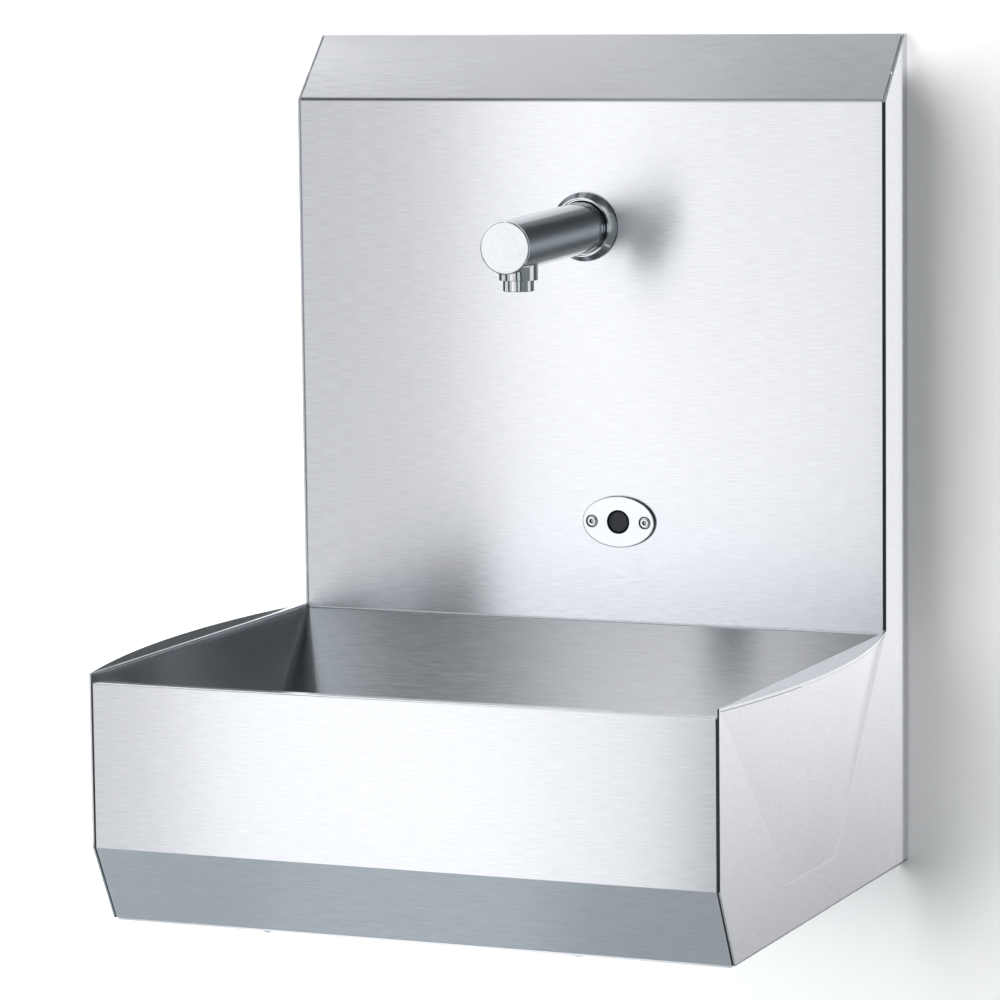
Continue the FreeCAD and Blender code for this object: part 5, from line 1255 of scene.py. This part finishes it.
class BASIN_OT_finish(bpy.types.Operator):
    """Gives every node of the frame its finish and rounded edges"""
    bl_idname = "basin.finish"
    bl_label = "Finish the fittings"

    def execute(self, context):
        scene = context.scene
        make_materials(scene.basin_finish)
        for slot, names in FINISHES.items():
            for name in names:
                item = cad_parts[name]
                dress(item, MATERIALS[OWN_FINISH.get(name, slot)])
                round_edges(item, scene.basin_edges)
        return {"FINISHED"}


class BASIN_OT_cheeks(bpy.types.Operator):
    """Makes both cheeks with their swelled bowl sides, rims and creases"""
    bl_idname = "basin.cheeks"
    bl_label = "Fold the cheeks"

    def execute(self, context):
        scene = context.scene
        for side, name in ((1, "right_cheek"), (-1, "left_cheek")):
            make_cheek(side, name, scene.basin_cheeks, scene.basin_edges.sharp)
        return {"FINISHED"}


class BASIN_OT_bead(bpy.types.Operator):
    """Lays the weld bead between panel and bowl, and fills the joints beside panel and apron with painted
    shadow
    """
    bl_idname = "basin.bead"
    bl_label = "Weld and fill the joints"

    def execute(self, context):
        scene = context.scene
        body = face_outward(bead(scene.basin_cheeks), scene.basin_edges.sharp)
        # The bead is in brighter steel, a painted highlight
        add_piece("panel_bead", mesh_of("panel_bead", body, [MATERIALS["burnished_steel"]]), "sheet_steel")
        # The joints get strips of dark rubber: painted shadow in the gaps
        body = face_outward(joints(scene.basin_cheeks), scene.basin_edges.sharp)
        add_piece("joint_filler", mesh_of("joint_filler", body, [MATERIALS["seal_rubber"]]), "seal_rubber")
        return {"FINISHED"}


class BASIN_OT_sensor(bpy.types.Operator):
    """Makes the sensor's plate, window and two socket screws"""
    bl_idname = "basin.sensor"
    bl_label = "Fit the sensor"

    def execute(self, context):
        edges = context.scene.basin_edges
        fit_plate(edges)
        fit_lens(edges.sharp)
        fit_screws(edges.sharp)
        return {"FINISHED"}


class BASIN_OT_spring(bpy.types.Operator):
    """Makes the water valve's return spring as its own mesh; in the valve the spring shortens as the plunger
    lifts
    """
    bl_idname = "basin.spring"
    bl_label = "Fit the return spring"

    def execute(self, context):
        body = merged_copy("plunger_spring", SPRING_MERGE)
        body = face_outward(body, context.scene.basin_edges.sharp)
        spring = mesh_of("return_spring", body, [MATERIALS["tube_steel"]])
        piece = add_piece("return_spring", spring, "tube_steel", "plunger_spring", weighted=False)
        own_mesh(piece)
        return {"FINISHED"}


class BASIN_OT_stage(bpy.types.Operator):
    """Makes the wall, the floor, the lamps and the camera"""
    bl_idname = "basin.stage"
    bl_label = "Set the stage"

    def execute(self, context):
        stage = context.scene.basin_stage
        context.scene.view_settings.view_transform = "Standard"
        place_camera(stage)
        studio_world(stage.ambient)
        floor = CAD_BOX[0].z - stage.floor_drop
        room = make_room(floor)
        hang_cards(floor)
        set_lamps(stage, room)
        return {"FINISHED"}


class BASIN_PT_sidebar(bpy.types.Panel):
    """Lists the steps that dress the basin"""
    bl_idname = "BASIN_PT_sidebar"
    bl_label = "Hand basin"
    bl_space_type = "VIEW_3D"
    bl_region_type = "UI"
    bl_category = "Basin"

    def draw(self, context):
        for step in STEPS:
            self.layout.operator(step.bl_idname)


STEPS = (BASIN_OT_finish, BASIN_OT_cheeks, BASIN_OT_bead, BASIN_OT_sensor, BASIN_OT_spring, BASIN_OT_stage)
GROUPS_OF_SIZES = {"basin_edges": BasinEdges, "basin_cheeks": BasinCheeks, "basin_finish": BasinFinish,
                   "basin_stage": BasinStage}
CLASSES = (*GROUPS_OF_SIZES.values(), *STEPS, BASIN_PT_sidebar)


def register():
    for kind in CLASSES:
        bpy.utils.register_class(kind)
    for name, kind in GROUPS_OF_SIZES.items():
        setattr(bpy.types.Scene, name, PointerProperty(type=kind))


def unregister():
    for name in GROUPS_OF_SIZES:
        delattr(bpy.types.Scene, name)
    for kind in reversed(CLASSES):
        bpy.utils.unregister_class(kind)


def main():
    register()
    bpy.ops.basin.finish()
    bpy.ops.basin.cheeks()
    bpy.ops.basin.bead()
    bpy.ops.basin.sensor()
    bpy.ops.basin.spring()
    bpy.ops.basin.stage()


if __name__ == "__main__":
    main()
